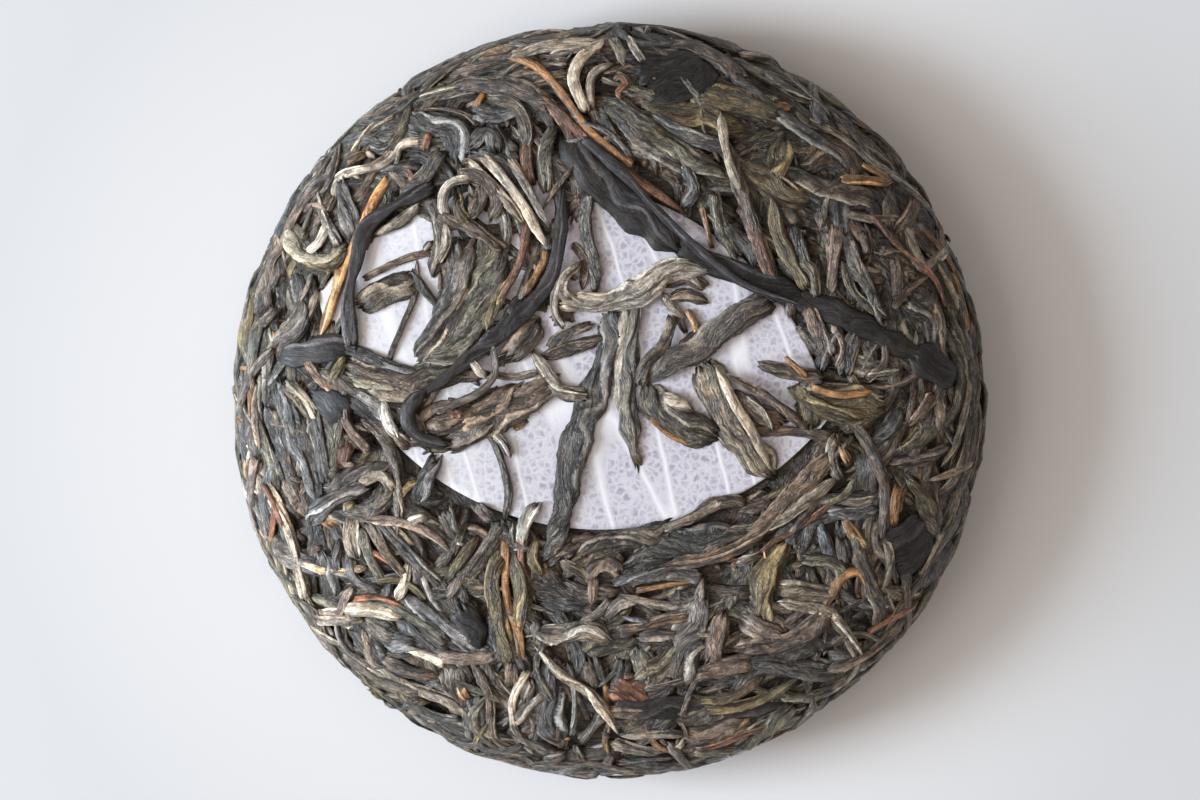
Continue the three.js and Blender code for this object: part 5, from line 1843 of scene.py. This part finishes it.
@dataclass
class LeafBed:
    """The mass of leaf under those that show, its colour darkened as painted shade of the gaps. Sizes in
    mm.
    """

    rng: Draws
    inset: float = 1.5
    roughness: float = 0.1
    rows: int = 64
    sides: int = 120
    # Leaf colour darkened as painted shade of the gaps
    colour: Colour = (44, 37, 31)
    tones: float = 0.25
    grain_steps: Pair = (1.6, 1.1)
    crest_share: float = 0.2

    def build(self) -> bpy.types.Object:
        """Makes the bed.

        Returns:
            The piece.
        """
        index, known = np.linspace(0, MOULD.samples - 1, self.rows), np.arange(MOULD.samples)
        line = sampled(index, known, MOULD.line)
        normal = unit(sampled(index, known, MOULD.normals))
        angle = np.arange(self.sides) / self.sides * 2 * math.pi
        rough = self.rng.normal(0, 1, (self.rows, self.sides))
        rough = (rough + np.roll(rough, 1, 1) + np.roll(rough, 1, 0)) * self.roughness
        depth = self.inset + np.abs(rough)
        r = np.maximum(line[:, :1] - normal[:, :1] * depth, 0)
        z = line[:, 1:] - normal[:, 1:] * depth
        points = np.stack([r * np.cos(angle), r * np.sin(angle), z], -1)
        patch = Patch()
        inner = points[1:-1].reshape(-1, 3)
        colour = linear(self.colour) * np.exp(self.rng.normal(0, self.tones, (len(inner), 1)))
        first = patch.add_points(inner, colour)
        quads = round_faces(self.rows - 2, self.sides)
        across, along = self.grain_steps
        grain = np.stack([quads % self.sides * across, quads // self.sides * along], -1).astype(float)
        patch.add_quads(first + quads.reshape(-1, 4), grain.reshape(-1, 4, 2))
        ends = ((points[0].mean(0), 0, False), (points[-1].mean(0), self.rows - 3, True))
        for place, ring_row, flipped in ends:
            tip = patch.add_points(place[None], linear(self.colour)[None])
            ring = first + ring_row * self.sides + np.arange(self.sides)
            fan = np.stack([np.full(self.sides, tip), ring, np.roll(ring, -1)], 1)
            patch.add_triangles(fan[:, ::-1] if flipped else fan)
        bed = to_mesh("leaf_bed", patch, LeafFinish("bed_leaf", crest_share=self.crest_share).build())
        dress(bed, "tea_cake")
        return bed


@dataclass
class Tag:
    """The sunken tag of thin fibre paper. Sizes in mm."""

    rng: Draws
    thickness: float = 0.14
    along: int = 90
    across: int = 44
    broad_wave: float = 0.05
    small_wave: float = 0.03
    colour: Colour = (222, 221, 226)

    def build(self) -> bpy.types.Object:
        """Makes the tag.

        Returns:
            The piece.
        """
        u = np.sin(np.linspace(-1, 1, self.along + 1) * math.pi / 2)
        v = np.linspace(-1, 1, self.across + 1)
        plan = TAG.place(u[:, None] * np.ones_like(v)[None], np.ones_like(u)[:, None] * v[None])
        flat = plan.reshape(-1, 2)
        seats, normals = MOULD.over(flat)
        x, y = flat[:, 0], flat[:, 1]
        wave = self.broad_wave * np.sin(x / 5.1 + 1.0) * np.cos(y / 4.3) + self.small_wave * np.sin(y / 2.2)
        sheets = []
        for depth in (TAG.depth, TAG.depth + self.thickness):
            sheets.append(seats - normals * (depth - wave)[:, None])
        patch = Patch()
        white = np.tile(linear(self.colour), (len(flat), 1))
        columns = self.across + 1
        i, j = np.meshgrid(np.arange(self.along), np.arange(self.across), indexing="ij")
        corner = i * columns + j
        quads = np.stack([corner, corner + columns, corner + columns + 1, corner + 1], -1).reshape(-1, 4)
        upper = patch.add_points(sheets[0], white)
        lower = patch.add_points(sheets[1], white)
        patch.add_quads(quads + upper)
        patch.add_quads(quads[:, ::-1] + lower)
        rim = np.concatenate(
            [
                np.arange(columns - 1),
                np.arange(self.along) * columns + columns - 1,
                self.along * columns + np.arange(columns - 1, 0, -1),
                np.arange(self.along, 0, -1) * columns,
            ]
        )
        after = np.roll(rim, -1)
        patch.add_quads(np.stack([rim + upper, after + upper, after + lower, rim + lower], 1))
        tag = to_mesh("tag_sheet", patch, PaperFinish().build())
        dress(tag, "paper_tag")
        return tag


@dataclass(frozen=True)
class PaperFinish:
    """The finish of thin fibre paper: lilac mottling in a soft pale net, a few long fibres, and painted
    light that makes it paler towards the lit side, where the mottling is fainter.

    Colours are as the eye sees them, 0 to 255. Counts are per metre.
    """

    white: Colour = (203, 202, 212)
    # Paler paper towards the lit side: painted light, with fainter mottling
    clear: Colour = (238, 239, 245)
    spot: Colour = (163, 156, 174)
    lit_clear_from: Pair = (-0.036, -0.002)
    fibre: Colour = (246, 246, 252)
    cells: float = 900.0
    ragged: float = 1300.0
    clouds: float = 170.0
    mottles: float = 1250.0
    swirls: float = 90.0
    fibres: Pair = (150.0, 14.0)
    fibre_reach: float = 0.04
    net_reach: float = 0.26
    net_share: float = 0.4
    clear_share: float = 0.3
    lean: float = math.radians(-17)
    sway: float = 0.8 * MM
    roughness: float = 0.85
    specular: float = 0.25
    bump: float = 0.35
    relief: float = 0.1 * MM

    def build(self) -> bpy.types.Material:
        """Makes the material.

        Returns:
            The material.
        """
        nodes = NodeBoard("fibre_paper")
        place = nodes.place()
        bent = nodes.pushed(place, nodes.noise(place, self.ragged, 3.0, 0.6, "Color"), self.sway)
        inputs = {"Vector": bent, "Scale": self.cells}
        cells = nodes.wire("ShaderNodeTexVoronoi", inputs, "Distance", feature="DISTANCE_TO_EDGE")
        net = nodes.spread(cells, 0.0, self.net_reach, 1.0, 0.0)
        cloud = nodes.spread(nodes.noise(place, self.clouds, 3.0, 0.55), 0.35, 0.65, 0.55, 1.0)
        mottles = nodes.spread(nodes.noise(place, self.mottles, 3.0, 0.55), 0.38, 0.62, 1.0, 0.0)
        mottles = nodes.maths("MULTIPLY", mottles, cloud)
        mottled = nodes.maths("MULTIPLY", mottles, nodes.spread(net, 0.0, 1.0, 1.0, self.net_share))
        # Painted light: the paper grows paler, and its mottling fainter, towards the lit side
        clear = nodes.spread(nodes.axis(place, "X"), *self.lit_clear_from, 1.0, 0.0)
        mottled = nodes.maths("MULTIPLY", mottled, nodes.spread(clear, 0.0, 1.0, 1.0, self.clear_share))
        swirled = nodes.pushed(place, nodes.noise(place, self.swirls, 2.0, 0.5, "Color"), 2 * self.sway)
        swept = nodes.turned(swirled, self.lean)
        long_fibres = nodes.line(nodes.grain(swept, self.fibres, 0.0, 0.5), 0.5, self.fibre_reach)
        fibres = nodes.maths("MAXIMUM", nodes.maths("MULTIPLY", net, self.net_share), long_fibres)
        bare = nodes.mix(opaque(self.white), opaque(self.clear), clear)
        colour = nodes.mix(bare, opaque(self.spot), mottled)
        colour = nodes.mix(colour, opaque(self.fibre), fibres)
        shader = nodes.add("ShaderNodeBsdfPrincipled")
        shader.inputs["Roughness"].default_value = self.roughness
        shader.inputs["Specular IOR Level"].default_value = self.specular
        nodes.link(colour, shader.inputs["Base Color"])
        nodes.bump(nodes.total((fibres, 1.0), (mottled, -0.5)), self.bump, self.relief, shader)
        return nodes.finish(shader)


@dataclass(frozen=True)
class SoftLight:
    """A square soft light that faces the cake: its place and size in metres, its power in watts."""

    name: str
    place: Triple
    size: float
    power: float
    colour: Triple

    def build(self) -> None:
        """Hangs the light."""
        data = bpy.data.lights.new(self.name, "AREA")
        data.size = self.size
        data.energy = self.power
        data.color = self.colour
        lamp = bpy.data.objects.new(self.name, data)
        lamp.location = self.place
        lamp.rotation_euler = (-Vector(self.place)).to_track_quat("-Z", "Y").to_euler()
        bpy.context.scene.collection.objects.link(lamp)


WINDOW = SoftLight("window", (-1.36, -0.14, 0.66), 0.62, 30.4, (0.76, 0.87, 0.99))
FILL = SoftLight("fill", (-0.95, -0.2, 0.95), 1.2, 7.2, (1.0, 0.94, 0.87))


@dataclass
class Studio:
    """The pale floor, the soft lights and the camera over the cake. Places in metres.

    The floor is painted paler near the cake and darker further out, a painted falloff of the light between
    two distances.
    """

    camera_height: float = 1.0225
    camera_shift: float = -0.00127
    lens: float = 218.25
    nearest: float = 0.01
    floor_half: float = 3.0
    floor_lit: Colour = (236, 237, 239)
    floor_dim: Colour = (219, 222, 225)
    floor_painted_falloff: Pair = (0.054, 0.088)
    floor_roughness: float = 0.7
    sky_light: Triple = (0.385, 0.332, 0.292)

    def build(self) -> None:
        """Sets up the floor, the sky, the lights and the camera."""
        self.floor()
        self.sky()
        WINDOW.build()
        FILL.build()
        self.camera()

    def floor(self) -> None:
        """A pale matt floor under the cake, with the light's falloff round it painted in."""
        mesh = bpy.data.meshes.new("floor")
        half = self.floor_half
        corners = [(-half, -half, 0), (half, -half, 0), (half, half, 0), (-half, half, 0)]
        mesh.from_pydata(corners, [], [(0, 1, 2, 3)])
        floor = bpy.data.objects.new("floor", mesh)
        bpy.context.scene.collection.objects.link(floor)
        nodes = NodeBoard("pale_floor")
        shader = nodes.add("ShaderNodeBsdfPrincipled")
        distance = nodes.wire("ShaderNodeVectorMath", {0: nodes.place()}, "Value", operation="LENGTH")
        # Painted light: paler near the cake, darker further out
        painted_falloff = nodes.spread(distance, *self.floor_painted_falloff, 0.0, 1.0)
        colour = nodes.mix(opaque(self.floor_lit), opaque(self.floor_dim), painted_falloff)
        nodes.link(colour, shader.inputs["Base Color"])
        shader.inputs["Roughness"].default_value = self.floor_roughness
        mesh.materials.append(nodes.finish(shader))

    def sky(self) -> None:
        """Even pale light from all round."""
        world = bpy.data.worlds.new("sky")
        world.use_nodes = True
        background = world.node_tree.nodes["Background"]
        background.inputs["Color"].default_value = (*self.sky_light, 1.0)
        background.inputs["Strength"].default_value = 1.0
        bpy.context.scene.world = world

    def camera(self) -> None:
        """The camera, looking straight down."""
        data = bpy.data.cameras.new("camera")
        data.lens = self.lens
        data.clip_start = self.nearest
        camera = bpy.data.objects.new("camera", data)
        camera.location = (self.camera_shift, 0, self.camera_height)
        bpy.context.scene.collection.objects.link(camera)
        bpy.context.scene.camera = camera


def main() -> None:
    """Builds the dressed cake and the studio."""
    logging.basicConfig(level=logging.INFO, format="%(name)s: %(message)s")
    rng = np.random.default_rng(SEED)
    bpy.context.scene.view_settings.view_transform = "Standard"
    Studio().build()
    LeafBed(rng).build()
    log.info("leaf bed")
    PressedLeaves(rng).build()
    Tag(rng).build()
    log.info("tag")


if __name__ == "__main__":
    main()
